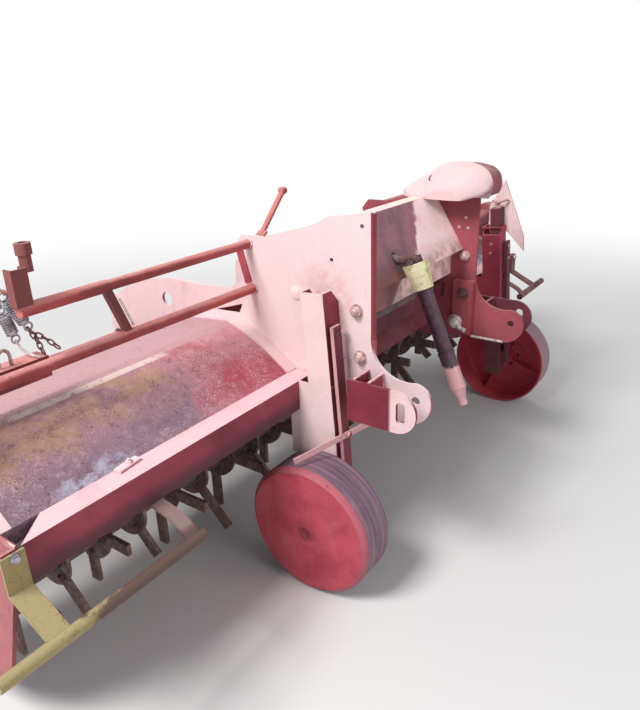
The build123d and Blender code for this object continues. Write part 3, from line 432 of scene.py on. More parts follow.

# %% [markdown]
# The hoods show the most weathering. Their skin changes along the machine: red near the headstock
# with fine pale flakes where the paint lets go, ochre lichen and primer further out, dull purple
# grey lower down by the beam, and a chalky crest that never stays wet. A single noise can't do
# that, so each zone gets a mask from the place on the machine, broken up by noise.

# %% Hood skin
def hood_skin():
    """Zones by place: distance from the headstock along X, and height Z up to the crest."""
    f = Finish("hood_skin", gloss=0.3)
    cloud = f.noise(0.22, 5.0, shift=1.0)
    mottle = f.noise(0.05, 5.0, shift=3.0)
    grain = f.noise(0.007, 3.0, shift=2.0)
    away = f.size(f.axes[0])
    out = f.uneven(away, cloud, 0.9)
    high = f.uneven(f.axes[2], mottle, 0.07)
    colour = f.coat(seen(184, 100, 112), seen(204, 140, 150), f.mask(cloud, 0.40, 0.58))
    colour = f.coat(colour, seen(174, 128, 138), f.mask(out, 0.70, 1.10))
    ochre = f.times(
        f.mask(out, 0.80, 1.05),
        f.mask(f.plus(f.noise(0.10, 5.0, shift=7.7), f.times(grain, 0.35)), 0.62, 0.76),
    )
    colour = f.coat(colour, seen(190, 150, 114), f.times(ochre, f.mask(high, 0.78, 0.83)), 0.75)
    # A dull purple grey, lower down towards the beam.
    low_grey = f.times(f.mask(high, 0.845, 0.775), f.mask(out, 0.72, 1.05))
    colour = f.coat(colour, seen(126, 106, 122), low_grey, 0.8)
    bare = f.times(f.mask(high, 0.785, 0.765), f.mask(f.noise(0.13, 3.0, shift=9.1), 0.55, 0.64))
    colour = f.coat(colour, seen(176, 168, 184), bare, 0.35)
    low_red = f.times(f.mask(high, 0.860, 0.790), f.mask(out, 0.90, 0.60))
    colour = f.coat(colour, seen(170, 70, 86), low_red, 0.85)
    patch = f.times(
        f.mask(high, 0.778, 0.760), f.times(f.mask(away, 1.18, 1.26), f.mask(away, 1.50, 1.40))
    )
    colour = f.coat(
        colour, seen(180, 180, 198), f.times(patch, f.mask(f.noise(0.03, 4.0), 0.36, 0.56)), 0.75
    )
    worn = f.noise(0.028, 5.0, shift=2.9)
    colour = f.coat(
        colour, seen(120, 84, 100), f.times(f.mask(worn, 0.52, 0.66), f.mask(out, 0.55, 0.85)), 0.55
    )
    colour = f.coat(colour, seen(208, 168, 174), f.mask(worn, 0.46, 0.34), 0.35)
    dots = f.noise(0.0050, 3.0, shift=8.0)
    colour = f.coat(
        colour,
        seen(108, 78, 88),
        f.times(f.mask(dots, 0.52, 0.60), f.mask(mottle, 0.36, 0.60)),
        0.45,
    )
    colour = f.coat(
        colour,
        seen(216, 186, 190),
        f.times(f.mask(dots, 0.45, 0.39), f.mask(f.noise(0.08, 4.0, shift=5.5), 0.42, 0.62)),
        0.38,
    )
    fleck = f.mask(f.noise(0.0045, 3.0, shift=2.0), 0.54, 0.60)
    flakes = f.times(
        fleck, f.times(f.mask(f.noise(0.16, 4.0, shift=4.9), 0.40, 0.58), f.mask(out, 1.05, 0.75))
    )
    colour = f.coat(colour, seen(222, 188, 194), flakes, 0.7)
    behind = f.mask(f.axes[1], -0.052, -0.040)
    colour = f.coat(colour, seen(196, 154, 160), behind, 0.85)
    crest = f.times(f.mask(f.axes[1], -0.064, -0.058), f.mask(f.axes[1], -0.036, -0.044))
    crest = f.times(crest, f.mask(out, 0.72, 0.95))
    crest = f.times(crest, f.mask(f.plus(mottle, f.times(grain, 0.4)), 0.52, 0.66))
    colour = f.coat(colour, seen(236, 214, 206), crest, 0.8)
    collar = f.mask(away, 0.512, 0.498)
    colour = f.coat(colour, seen(240, 208, 210), collar, 0.92)
    spots = f.mask(f.plus(f.noise(0.009, 4.0, shift=6.6), f.times(mottle, 0.5)), 0.88, 0.98)
    colour = f.coat(colour, seen(112, 70, 64), spots, 0.65)
    roughness = f.plus(f.times(grain, 0.4), 0.38)
    height = f.plus(f.plus(grain, mottle), f.times(spots, -0.6))
    return f.finish(colour, roughness, height, 0.002)


finishes["hood_skin"] = hood_skin()
print("hood skin nodes:", len(finishes["hood_skin"].node_tree.nodes))

# %% [markdown]
# The cowl between the plates is bleached like its neighbours on the right. On the left of its front
# panel a dull brown is painted shadow, the shadow of the left plate, and along its lower lip the
# panel turns darker brown. The same zone idea is used, from the middle line and the height.

# %% Cowl skin
def cowl_skin():
    """A chalky pink coat, a painted shadow of the left plate on the front panel left of a slanted
    line, and a darker brown along its lower lip.
    """
    f = Finish("cowl_skin", gloss=0.3)
    mottle = f.noise(0.06, 4.0, shift=3.3)
    grain = f.noise(0.006, 2.0)
    front = f.mask(f.faces(0, 0, 1), 0.85, 0.70)
    colour = f.coat(seen(252, 200, 204), seen(254, 222, 222), f.mask(mottle, 0.36, 0.52))
    roof = f.times(f.minus(1.0, front), f.mask(f.noise(0.2, 4.0), 0.40, 0.60))
    colour = f.coat(colour, seen(240, 226, 206), roof, 0.8)
    # Painted shadow: the left plate's shadow, a dull brown on the front panel left of a slanted
    # line, mottled darker inside.
    slant = f.minus(f.axes[0], f.times(f.minus(f.axes[2], 1.09), 0.97))
    side = f.uneven(slant, mottle, 0.08)
    plate_shadow = f.times(front, f.mask(side, 0.075, 0.045))
    colour = f.coat(colour, seen(134, 78, 90), plate_shadow, 0.9)
    shadow_mottle = f.times(plate_shadow, f.mask(f.noise(0.16, 4.0, shift=2.4), 0.40, 0.60))
    colour = f.coat(colour, seen(108, 84, 94), shadow_mottle, 0.9)
    # Darker brown along the front panel's lower lip.
    low = f.times(front, f.mask(f.axes[2], 1.13, 1.05))
    colour = f.coat(colour, seen(138, 84, 76), f.times(low, f.mask(mottle, 0.28, 0.66)), 0.75)
    spots = f.mask(f.plus(f.noise(0.007, 3.0, shift=6.1), f.times(mottle, 0.4)), 0.87, 0.94)
    rubbed = f.times(f.edges(0.004), 0.6)
    rusty = f.larger(f.times(spots, 0.35), rubbed)
    colour = f.coat(colour, seen(124, 66, 54), rusty)
    dents = f.noise(0.30, 1.0, shift=5.0)
    height = f.plus(f.times(grain, 0.10), f.times(dents, 4.0))
    return f.finish(colour, f.plus(f.times(grain, 0.3), 0.45), height, 0.003)


finishes["cowl_skin"] = cowl_skin()
print("cowl skin nodes:", len(finishes["cowl_skin"].node_tree.nodes))

# %% [markdown]
# A land wheel rolls in dirt. Its disc keeps a strong red, and its tread is worn to a dull purple
# grey with fine grooves round it. Both are on one piece, so the direction a face looks tells them
# apart: the disc faces along X, the tread doesn't. The grooves come from a wave over X, so they
# stay put as the wheel turns.

# %% Wheel paint
AXLE_Y, AXLE_Z = -0.506, 0.250
GROOVE_WAVE = 640.0   # radians of the grooves' wave in a metre


def wheel_paint():
    """Red disc where the face looks along X, worn and grooved tread where it doesn't. The hollow
    side of the right wheel is painted a brighter red as painted light, where the machine shades it."""
    f = Finish("wheel_paint", gloss=0.3)
    cloud = f.noise(0.18, 4.0, shift=0.6)
    mottle = f.noise(0.04, 4.0, shift=2.6)
    grain = f.noise(0.005, 2.0, shift=1.9)
    disc = f.mask(f.size(f.faces(1, 0, 0)), 0.55, 0.80)
    red = f.coat(seen(166, 60, 74), seen(190, 80, 92), f.mask(cloud, 0.36, 0.60))
    red = f.coat(red, seen(138, 46, 60), f.mask(mottle, 0.56, 0.72), 0.25)
    scratch = f.noise(0.30, 4.0, stretch=(26.0, 1.0, 1.0), shift=4.0)
    tread = f.coat(seen(98, 78, 94), seen(138, 108, 122), f.mask(scratch, 0.38, 0.62))
    tread = f.coat(tread, seen(178, 140, 148), f.mask(f.size(f.axes[0]), 0.675, 0.699), 0.5)
    off_axle = f.from_line(AXLE_Y, AXLE_Z)
    # Painted shade: darker red in the dimple round the axle.
    red = f.coat(red, seen(112, 34, 48), f.mask(off_axle, 0.050, 0.012), 0.8)
    # Painted light: a brighter red on the hollow side of the right wheel, where the machine's
    # shadow falls.
    fresh = f.times(f.mask(f.axes[0], 0.0, 0.2), f.mask(f.faces(-1, 0, 0), -0.3, 0.0))
    fresh = f.times(fresh, f.mask(off_axle, 0.249, 0.243))
    red = f.coat(red, seen(208, 80, 98), fresh, 0.75)
    disc = f.larger(disc, fresh)
    colour = f.coat(tread, red, disc)
    dust = f.times(f.mask(f.noise(0.07, 5.0, shift=9.4), 0.54, 0.72), 0.15)
    colour = f.coat(colour, seen(196, 150, 152), dust)
    spots = f.mask(f.plus(f.noise(0.007, 3.0, shift=6.0), f.times(mottle, 0.4)), 0.84, 0.92)
    rubbed = f.times(f.edges(0.005), f.mask(mottle, 0.40, 0.52))
    rusty = f.larger(f.times(spots, 0.3), f.times(rubbed, 0.6))
    colour = f.coat(colour, seen(122, 70, 62), rusty)
    groove = f.calc("SINE", f.times(f.axes[0], GROOVE_WAVE))
    groove = f.times(groove, f.minus(1.0, disc), 0.25)
    height = f.plus(f.times(grain, 0.4), f.plus(groove, f.times(mottle, 0.5)))
    return f.finish(colour, f.plus(f.times(grain, 0.35), 0.42), height, 0.0015)


finishes["wheel_paint"] = wheel_paint()
print("wheel paint nodes:", len(finishes["wheel_paint"].node_tree.nodes))

# %% [markdown]
# Bare metal needs other recipes: soil-worn steel on tines and ridging bodies, grey coil springs,
# zinc on newer bolts, oily cast iron on the gearbox. They differ only in three colours and three
# amounts, so one function makes them from a table, as with the paints. One tube, on the power
# shaft, is rubbed bare at its lower end.

# %% Bare metals
Metal = namedtuple("Metal", "name bright dull rust worn metal rough")


def bare_metal(look, below=None):
    """Bright and dull by a fine noise, rust by a coarser one; rust is rougher and not metallic. The
    last part, below, gives a height and the colour under it, for a tube rubbed bare at one end."""
    f = Finish(look.name, gloss=0.4)
    fine = f.noise(0.018, 4.0, shift=1.1)
    coarse = f.noise(0.07, 5.0, shift=4.2)
    grain = f.noise(0.004, 2.0, shift=0.4)
    colour = f.coat(seen(*look.dull), seen(*look.bright), f.mask(fine, 0.40, 0.60))
    rusty = f.times(f.mask(coarse, 0.54 - 0.3 * look.worn, 0.82 - 0.3 * look.worn), 0.85)
    colour = f.coat(colour, seen(*look.rust), rusty)
    if below:
        rubbed_below, rubbed_colour = below
        ragged = f.uneven(f.axes[2], coarse, 0.08)
        rubbed = f.mask(ragged, rubbed_below, rubbed_below - 0.012)
        colour = f.coat(colour, seen(*rubbed_colour), rubbed, 0.9)
    shine = f.times(f.minus(1.0, rusty), look.metal)
    f.give(f.shader.inputs["Metallic"], shine)
    roughness = f.plus(f.times(rusty, 0.3), f.plus(f.times(grain, 0.2), look.rough - 0.1))
    height = f.plus(grain, f.times(rusty, 0.6))
    return f.finish(colour, roughness, height, 0.0006)


METALS = [
    # name, bright, dull, rust, worn, metal, rough
    Metal("soil_steel", (128, 112, 106), (96, 82, 78), (96, 68, 56), 0.50, 0.3, 0.50),
    Metal("spring_wire", (186, 182, 190), (140, 136, 146), (104, 74, 64), 0.20, 0.6, 0.42),
    Metal("pale_bolt", (218, 188, 184), (176, 140, 140), (150, 104, 94), 0.15, 0.2, 0.45),
    Metal("dark_bolt", (118, 88, 92), (84, 60, 68), (92, 54, 50), 0.40, 0.3, 0.50),
    Metal("cast_iron", (118, 102, 102), (84, 68, 72), (98, 62, 54), 0.40, 0.2, 0.60),
    Metal("pale_casting", (222, 212, 206), (180, 162, 158), (132, 92, 82), 0.25, 0.1, 0.60),
    Metal("dark_tube", (82, 58, 70), (64, 44, 56), (80, 50, 56), 0.10, 0.2, 0.42),
    Metal("rusty_rod", (140, 98, 92), (104, 68, 66), (96, 58, 50), 0.50, 0.2, 0.60),
]
for look in METALS:
    finishes[look.name] = bare_metal(
        look, (0.735, (206, 156, 160)) if look.name == "dark_tube" else None
    )
print("metals:", ", ".join(look.name for look in METALS))

# %% [markdown]
# Two finishes are neither red paint nor bare metal: the khaki yellow guard rail, which turns darker
# brown towards its inner end, and the yellow plastic cone over the joint of the power shaft,
# brittle and dusty from the sun. Both are paler on the side towards the sun, partly from fading and
# partly as painted light.

# %% Yellow guard and plastic cone
def guard_paint():
    """Khaki where |X| is large, darker brown towards the inner end, paler on sunward faces (fading
    and painted light), with dark rusty worn edges.
    """
    f = Finish("guard_paint", gloss=0.3)
    mottle = f.noise(0.05, 4.0, shift=1.4)
    grain = f.noise(0.005, 2.0)
    out = f.uneven(f.size(f.axes[0]), mottle, 0.5)
    # Darker brown towards the inner end.
    colour = f.coat(seen(98, 76, 70), seen(158, 140, 96), f.mask(out, 1.50, 1.60))
    # Paler khaki on faces towards SUNWARD: partly fading, partly painted light.
    colour = f.coat(
        colour,
        seen(182, 170, 130),
        f.times(f.mask(f.faces(*SUNWARD), 0.2, 0.8), f.mask(out, 1.50, 1.60)),
        0.6,
    )
    grey = f.times(f.mask(f.size(f.axes[0]), 1.30, 1.24), f.mask(f.axes[2], 0.585, 0.60))
    colour = f.coat(colour, seen(146, 122, 120), grey, 0.85)
    rubbed = f.times(f.edges(0.004), f.mask(mottle, 0.40, 0.55))
    spots = f.times(f.mask(f.noise(0.008, 4.0, shift=3.0), 0.58, 0.70), 0.5)
    colour = f.coat(colour, seen(96, 60, 44), f.larger(spots, f.times(rubbed, 0.6)))
    height = f.plus(f.times(grain, 0.5), spots)
    return f.finish(colour, f.plus(f.times(grain, 0.3), 0.45), height, 0.0008)


def cone_plastic():
    """Pale yellow plastic, paler on the side towards the sun (chalky fading and painted light),
    with grey dust in blotches.
    """
    f = Finish("cone_plastic", rough=0.55, gloss=0.4)
    mottle = f.noise(0.03, 4.0, shift=2.8)
    colour = f.coat(seen(196, 184, 116), seen(220, 212, 156), f.mask(mottle, 0.38, 0.56))
    # Paler on faces towards SUNWARD: partly chalky fading, partly painted light.
    colour = f.coat(colour, seen(232, 226, 194), f.mask(f.faces(*SUNWARD), 0.2, 0.8), 0.7)
    dust = f.times(f.mask(f.noise(0.045, 5.0, shift=6.4), 0.54, 0.66), 0.6)
    colour = f.coat(colour, seen(150, 138, 108), dust)
    return f.finish(colour, None, f.plus(mottle, f.noise(0.004, 2.0)), 0.001)


finishes["guard_paint"] = guard_paint()
finishes["cone_plastic"] = cone_plastic()
print("finishes so far:", len(finishes))

# %% [markdown]
# Now the rigid pieces get their finishes. Each node of the frame has one material slot, so dressing
# it is a matter of naming the right finish. A table keeps that choice in one place, with a simple
# rule for the pairs: what isn't named for its own side takes the entry without one.

# %% Dress the frame
NODE_FINISH = {
    "headstock_plate_left": "bleached_plate", "headstock_plate_right": "shaded_plate",
    "headstock_cowl": "cowl_skin", "drive_cover": "cover_paint", "gearbox_bridge": "inside_red",
    "gearbox": "cast_iron", "centre_hood": "inside_red", "cross_tube": "inside_red",
    "front_beam": "beam_paint", "rotor_hood": "hood_skin", "end_plate": "rear_red",
    "low_rail": "rail_paint", "high_rail": "rail_paint", "rail_strap": "bracket_paint",
    "spring_bracket": "bracket_paint", "anchor_channel": "rail_paint",
    "relief_springs": "spring_wire", "guard_rail": "guard_paint", "guard_rail_right": "rusty_rod",
    "hitch_ear_left": "ear_paint", "hitch_ear_right": "painted_shade_red",
    "leg_holder_left": "holder_paint", "leg_holder_right": "holder_painted_shade",
    "wheel_leg_left": "leg_paint", "wheel_leg_right": "painted_shade_red", "land_wheel": "wheel_paint",
    "rotor": "soil_steel", "drive_tube": "rear_red", "side_drive_case": "rear_red",
    "ridger_arm": "arm_paint", "ridger_beam": "rear_red", "ridging_body": "soil_steel",
    "pto_shaft": "dark_tube", "pto_cone": "cone_plastic",
}


def finish_for(node_name):
    """The table's entry for the node, or else for its name without the last word."""
    return NODE_FINISH.get(node_name) or NODE_FINISH[node_name.rsplit("_", 1)[0]]


for node_name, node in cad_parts.items():
    node.data.materials.clear()
    node.data.materials.append(finishes[finish_for(node_name)])
print(
    "dressed", len(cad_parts), "rigid pieces with", len(set(NODE_FINISH.values())), "finishes"
)

# %% [markdown]
# The fine pieces are surfaces worked out with numpy. A surface is a grid of points: its rows run
# one way, its columns the other, and neighbouring points make the quads. Round things are grids
# that close on themselves. Where a row shrinks to one point, merging doubles turns its quads into
# triangles and the end is closed. Modelling by hand would look as good for one bolt, but a grid
# from a formula can be placed exactly where the frame says, as often as it is needed.

# %% Helpers for shapes
class Shape:
    """Surfaces gathered into one mesh, in metres on the machine."""

    def __init__(self):
        self.points = []
        self.quads = []
        self.total = 0

    def add(self, grid, around=True, along=False):
        """A grid (rows, columns, 3) as quads; around closes its columns, and along its rows."""
        rows, columns = grid.shape[:2]
        number = np.arange(rows * columns).reshape(rows, columns) + self.total
        if around:
            number = np.concatenate([number, number[:, :1]], axis=1)
        if along:
            number = np.concatenate([number, number[:1]], axis=0)
        corners = (number[:-1, :-1], number[:-1, 1:], number[1:, 1:], number[1:, :-1])
        self.points.append(grid.reshape(-1, 3))
        self.quads.append(np.stack(corners, axis=-1).reshape(-1, 4))
        self.total += rows * columns
        return self

    def make(self, name, body, slot, finish):
        """One object at the origin: doubles merged, faces outward, corners sharp, rest smooth."""
        mesh = bpy.data.meshes.new(name)
        mesh.from_pydata(
            np.concatenate(self.points).tolist(), [], np.concatenate(self.quads).tolist()
        )
        clean = bmesh.new()
        clean.from_mesh(mesh)
        bmesh.ops.remove_doubles(clean, verts=clean.verts, dist=1e-6)
        bmesh.ops.recalc_face_normals(clean, faces=clean.faces)
        clean.to_mesh(mesh)
        clean.free()
        mesh.polygons.foreach_set("use_smooth", np.ones(len(mesh.polygons), dtype=bool))
        mesh.set_sharp_from_angle(angle=math.radians(40))
        mesh.materials.append(finishes[finish])
        piece = bpy.data.objects.new(name, mesh)
        bpy.context.scene.collection.objects.link(piece)
        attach(piece, body)
        print(name, len(mesh.polygons), "faces")
        return piece


# %% [markdown]
# Four kinds of line and surface cover almost every small steel part. A lathe turns a profile round
# a line, for bolts and caps. A sweep carries a profile along a path, for bars, wires and welds. A
# ring is a wire closed on itself. A line is the path of a straight bar. Each is one formula, worked
# out for all its points at once.

# %% Lathe, sweep and ring
def square_to(direction):
    """Two unit vectors square to the direction and to each other, and its own unit vector."""
    along = np.array(direction, float)
    along /= np.linalg.norm(along)
    helper = np.array([0.0, 0.0, 1.0]) if abs(along[2]) < 0.9 else np.array([1.0, 0.0, 0.0])
    across = np.cross(helper, along)
    across /= np.linalg.norm(across)
    return across, np.cross(along, across), along


def lathe(profile, place, direction, sides=24):
    """A profile of (radius, height) turned round a line: cos and sin times the radius."""
    across, up, along = square_to(direction)
    radius, height = np.array(profile, float).T
    angle = np.linspace(0, 2 * np.pi, sides, endpoint=False)
    circle = np.cos(angle)[:, None] * across + np.sin(angle)[:, None] * up
    return np.array(place) + radius[:, None, None] * circle + (height[:, None] * along)[:, None]


def sweep(path, profile, up=(0, 0, 1)):
    """A closed profile of (side, top) carried square to a path and closed at both its ends."""
    path = np.array(path, float)
    run = np.gradient(path, axis=0)
    run /= np.linalg.norm(run, axis=1, keepdims=True)
    side = np.cross(run, up)
    side /= np.linalg.norm(side, axis=1, keepdims=True)
    top = np.cross(side, run)
    profile = np.broadcast_to(profile, (len(path), *np.shape(profile)[-2:]))
    grid = path[:, None] + profile[..., :1] * side[:, None] + profile[..., 1:] * top[:, None]
    ends = grid[[0, -1]].mean(axis=1, keepdims=True).repeat(grid.shape[1], axis=1)
    return np.concatenate([ends[:1], grid, ends[1:]])


def circle(radius, sides=10):
    """The profile of a round wire: cos and sin of equal steps, times the radius."""
    angle = np.linspace(0, 2 * np.pi, sides, endpoint=False)
    return radius * np.stack([np.cos(angle), np.sin(angle)], axis=1)


def flat(wide, thick, corner=0.0015):
    """The profile of a flat bar: a rectangle with its four corners cut."""
    w, t, c = wide / 2, thick / 2, min(corner, thick / 3)
    return np.array(
        [
            (w - c, -t),
            (w, c - t),
            (w, t - c),
            (w - c, t),
            (c - w, t),
            (-w, t - c),
            (-w, c - t),
            (c - w, -t),
        ]
    )


def line(start, end, steps=2):
    """Evenly spaced points from start to end."""
    share = np.linspace(0, 1, steps)[:, None]
    return np.array(start) * (1 - share) + np.array(end) * share


def ring(centre, normal, radius, wire, sides=24):
    """A closed ring of wire: a small circle carried round a large one, closed both ways."""
    across, up, along = square_to(normal)
    round_ = np.linspace(0, 2 * np.pi, sides, endpoint=False)[:, None, None]
    small = circle(wire, 8)[None, :, :]
    reach = radius + small[..., :1]
    return np.array(centre) + reach * (
        np.cos(round_) * across + np.sin(round_) * up
    ) + small[..., 1:] * along


print("shape helpers ready")

# %% [markdown]
# Bolts hold every bolted joint, and a bare hole looks unfinished. A bolt is a washer, a hexagonal
# head with its corners turned down, and a short stud: three lathe shapes, the head with only six
# sides. One row of a table places one bolt, and all bolts of a finish on one body make one object.

# %% Bolts
def add_bolt(shape, place, direction, size):
    """Washer, head and stud; size is the thread's radius, and the rest follows from it."""
    washer, head, high = 1.9 * size, 1.73 * size, 1.3 * size
    thick = 0.3 * size
    shape.add(lathe([(0, -0.001), (washer, -0.001), (washer, thick), (0, thick)], place, direction))
    hexagon = [(0, thick), (head, thick), (head, 0.85 * high), (0.86 * head, high), (0, high)]
    shape.add(lathe(hexagon, place, direction, sides=6))
    tip = 1.55 * high
    thread = [(0, high), (size, high), (size, 1.45 * high), (0.85 * size, tip), (0, tip)]
    shape.add(lathe(thread, place, direction, sides=12))


def bolts(name, body, finish, rows, slot="bare_steel"):
    """One object of bolts; each row is a place, a direction and the thread's radius."""
    shape = Shape()
    for place, direction, size in rows:
        add_bolt(shape, place, direction, size)
    return shape.make(name, body, slot, finish)


WEST, EAST, FRONTWARD, BACKWARD, UP = (-1, 0, 0), (1, 0, 0), (0, -1, 0), (0, 1, 0), (0, 0, 1)
SIDES = {"left": -1, "right": 1}
PLATE_OUT = 0.450
PLATE_IN = 0.438
DOUBLER_IN = 0.412
UPPER_BOLT, LOWER_BOLT = (-0.570, 1.012), (-0.583, 0.849)
THREAD = 0.0125
bolts("headstock_bolts_left", "frame", "pale_bolt", [
    ((-PLATE_OUT, *UPPER_BOLT), WEST, THREAD), ((-PLATE_OUT, *LOWER_BOLT), WEST, THREAD),
    ((-PLATE_IN, *UPPER_BOLT), EAST, THREAD), ((-DOUBLER_IN, *LOWER_BOLT), EAST, THREAD),
])
bolts("headstock_bolt_shiny", "frame", "pale_bolt", [((PLATE_IN, *UPPER_BOLT), WEST, THREAD)])
bolts("headstock_bolts_right", "frame", "dark_bolt", [
    ((DOUBLER_IN, *LOWER_BOLT), WEST, THREAD),
    ((PLATE_OUT, *UPPER_BOLT), EAST, THREAD), ((PLATE_OUT, *LOWER_BOLT), EAST, THREAD),
])

# %% [markdown]
# Welded joints are the other half of how this machine is made. A weld bead is a rope of small
# overlapping scallops laid in a corner. It is a round profile carried along the seam, with a radius
# that pulses every few millimetres, so that light catches it unevenly, as on real hand welding.

# %% Weld beads
def bead(path, size=0.005, pitch=0.007):
    """A round profile carried along a seam; its radius pulses with the distance along it."""
    path = np.array(path, float)
    gaps = np.linalg.norm(np.diff(path, axis=0), axis=1)
    reach = np.concatenate([[0], np.cumsum(gaps)])
    steps = np.linspace(0, reach[-1], max(int(reach[-1] / pitch * 4), 8))
    fine = np.stack([np.interp(steps, reach, path[:, i]) for i in range(3)], axis=1)
    pulse = 1 + 0.16 * np.sin(2 * np.pi * steps / pitch) + 0.08 * np.sin(11.0 * steps / pitch)
    return sweep(fine, circle(size, 6)[None] * pulse[:, None, None], up=(0.31, 0.52, 0.79))


def ring_seam(centre, radius, sides=40):
    """The seam where a bar along X meets a plate: a circle round the bar."""
    angle = np.linspace(0, 2 * np.pi, sides)
    turn = np.stack([np.zeros(sides), np.cos(angle), np.sin(angle)], axis=1)
    return np.array(centre) + radius * turn


END_PLATE = 1.620
LOW_RAIL = (-0.119, 1.028)
HIGH_RAIL = (-0.109, 1.192)


def frame_welds(side):
    """The seams on one half of the machine; side is -1 for the left."""
    plate, inner, ear, end = (side * x for x in (PLATE_OUT, PLATE_IN, 0.544, END_PLATE))
    return [
        [(plate, -0.377, 0.746), (plate, -0.303, 0.746)],
        [(plate, -0.380, 0.745), (plate, -0.380, 0.637)],
        [(end, -0.377, 0.746), (end, -0.309, 0.746)],
        [(plate, -0.672, 0.808), (ear, -0.672, 0.808)],
        [(plate, -0.615, 0.808), (ear, -0.615, 0.808)],
        [(plate, -0.672, 0.662), (plate, -0.672, 0.806)],
        [(ear, -0.672, 0.662), (ear, -0.672, 0.806)],
        ring_seam((plate, *LOW_RAIL), 0.019),
        ring_seam((plate, *HIGH_RAIL), 0.0175),
        ring_seam((end, *LOW_RAIL), 0.019),
        ring_seam((inner, -0.150, 1.140), 0.036),
        [(inner, -0.478, 0.881), (inner, -0.231, 0.881)],
    ]


for word, side in SIDES.items():
    seams = Shape()
    for path in frame_welds(side):
        seams.add(bead(path))
    finish = "beam_paint" if side < 0 else "shaded_plate"
    seams.make(f"frame_welds_{word}", "frame", "red_paint", finish)

# %% [markdown]
# Each hood is one sheet bent over the rotor, with a pressed collar where it meets the headstock and
# the end plate. The collar is the hood's own curve, moved out by its thickness, and that curve is
# easy to write down: from the beam it rises in a shallow arch to the crest, and behind the crest it
# falls in three straight runs.

# %% Hood collars
def hood_curve(lift):
    """Points (y, z) over the hood: a rise plus 4 b s (1 - s) for the arch, then the rear runs."""
    share = np.linspace(0, 1, 9)
    rise = 0.745 + 0.154 * share + 0.072 * share * (1 - share)
    arch = np.stack([-0.301 + 0.282 * share, rise], axis=1)
    rear = np.array([(0.200, 0.880), (0.310, 0.720), (0.325, 0.602)])
    curve = np.concatenate([arch, rear])
    run = np.gradient(curve, axis=0)
    outward = np.stack([-run[:, 1], run[:, 0]], axis=1) / np.linalg.norm(run, axis=1, keepdims=True)
    return curve + lift * outward


def hood_band(shape, x0, x1, thick):
    """A strip that lies on the hood from x0 to x1: the curve as a closed loop of four corners."""
    low, high = hood_curve(-0.002), hood_curve(thick)
    corners = [(low, x0), (low, x1), (high, x1), (high, x0)]
    grid = np.stack([np.column_stack([np.full(len(c), x), c]) for c, x in corners], axis=1)
    ends = grid[[0, -1]].mean(axis=1, keepdims=True).repeat(4, axis=1)
    shape.add(np.concatenate([ends[:1], grid, ends[1:]]))


for word, side in SIDES.items():
    band = Shape()
    hood_band(band, side * 0.4505, side * 0.498, 0.0035)
    hood_band(band, side * 1.585, side * 1.6195, 0.0030)
    band.make(f"hood_collars_{word}", "frame", "hood_red", "collar_paint")

# %% [markdown]
# Close-wound coil springs pull against the rails. A coil is a helix: a point goes round the
# spring's line while it moves along it. At both ends the last half turn bends up into an eye. The
# frame only holds a plain rod of the spring's outer size, so these coils replace it.

# %% Relief springs
SPRING_PIN = 1.347
SPRING_OUT = 0.0178
WIRE = 0.0028


def coil(shape, top, foot):
    """A close-wound helix between two points, with a round eye standing off each end."""
    across, up, along = square_to(np.array(foot) - top)
    long = np.linalg.norm(np.array(foot) - top)
    turns = int(long / (2.5 * WIRE))
    share = np.linspace(0, 1, turns * 14)
    angle = 2 * np.pi * turns * share
    reach = (SPRING_OUT - WIRE) * np.clip(np.minimum(share, 1 - share) * turns, 0.35, 1)
    spot = np.cos(angle)[:, None] * across + np.sin(angle)[:, None] * up
    path = np.array(top) + (share * long)[:, None] * along + reach[:, None] * spot
    shape.add(sweep(path, circle(WIRE, 6), up=along))
    for end, sign in ((np.array(top), -1), (np.array(foot), 1)):
        shape.add(ring(end + sign * 0.010 * along, across, 0.0115, WIRE), along=True)


def spring_pair(side):
    """Both coils of one side: the place of each is that of its rod in the frame."""
    pin = side * SPRING_PIN
    return [
        ((pin, -0.051, 1.214), (side * 1.305, -0.051, 1.136)),
        ((pin, -0.019, 1.172), (side * 1.328, -0.019, 1.102)),
    ]


for word, side in SIDES.items():
    coils = Shape()
    for top, foot in spring_pair(side):
        coil(coils, np.array(top), np.array(foot))
        hanger = line((side * SPRING_PIN, top[1], 1.231), (top[0], top[1], top[2] + 0.012), 3)
        coils.add(sweep(hanger, circle(WIRE, 8), up=BACKWARD))
    piece = coils.make(f"relief_coils_{word}", "frame", "spring_steel", "spring_wire")
    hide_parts(f"relief_springs_{word}")

# %% [markdown]
# Below the first spring a short chain runs to the anchor channel, and below the second one a bent
# rod. A chain link is a wire carried round a stadium, and each link is a quarter turn on from the
# last. Links are spaced by their inner length, so that each one hangs in its neighbour.

# %% Chains and hook rods
def link(shape, centre, along, turn, long=0.022, wide=0.013, wire=0.0024):
    """A wire round a stadium: cos and sin, each to the power 0.75, keep its sides flat."""
    across, up, axis = square_to(along)
    wide_way = math.cos(turn) * across + math.sin(turn) * up
    angle = np.linspace(0, 2 * np.pi, 20, endpoint=False)
    far, out = (np.sign(w) * np.abs(w) ** 0.75 for w in (np.cos(angle), np.sin(angle)))
    path = centre + far[:, None] * axis * long / 2 + out[:, None] * wide_way * wide / 2
    run = np.roll(path, -1, axis=0) - np.roll(path, 1, axis=0)
    run /= np.linalg.norm(run, axis=1, keepdims=True)
    normal = np.cross(axis, wide_way)
    side = np.cross(run, normal)
    small = circle(wire, 6)
    shape.add(
        path[:, None] + small[None, :, :1] * side[:, None] + small[None, :, 1:] * normal, along=True
    )


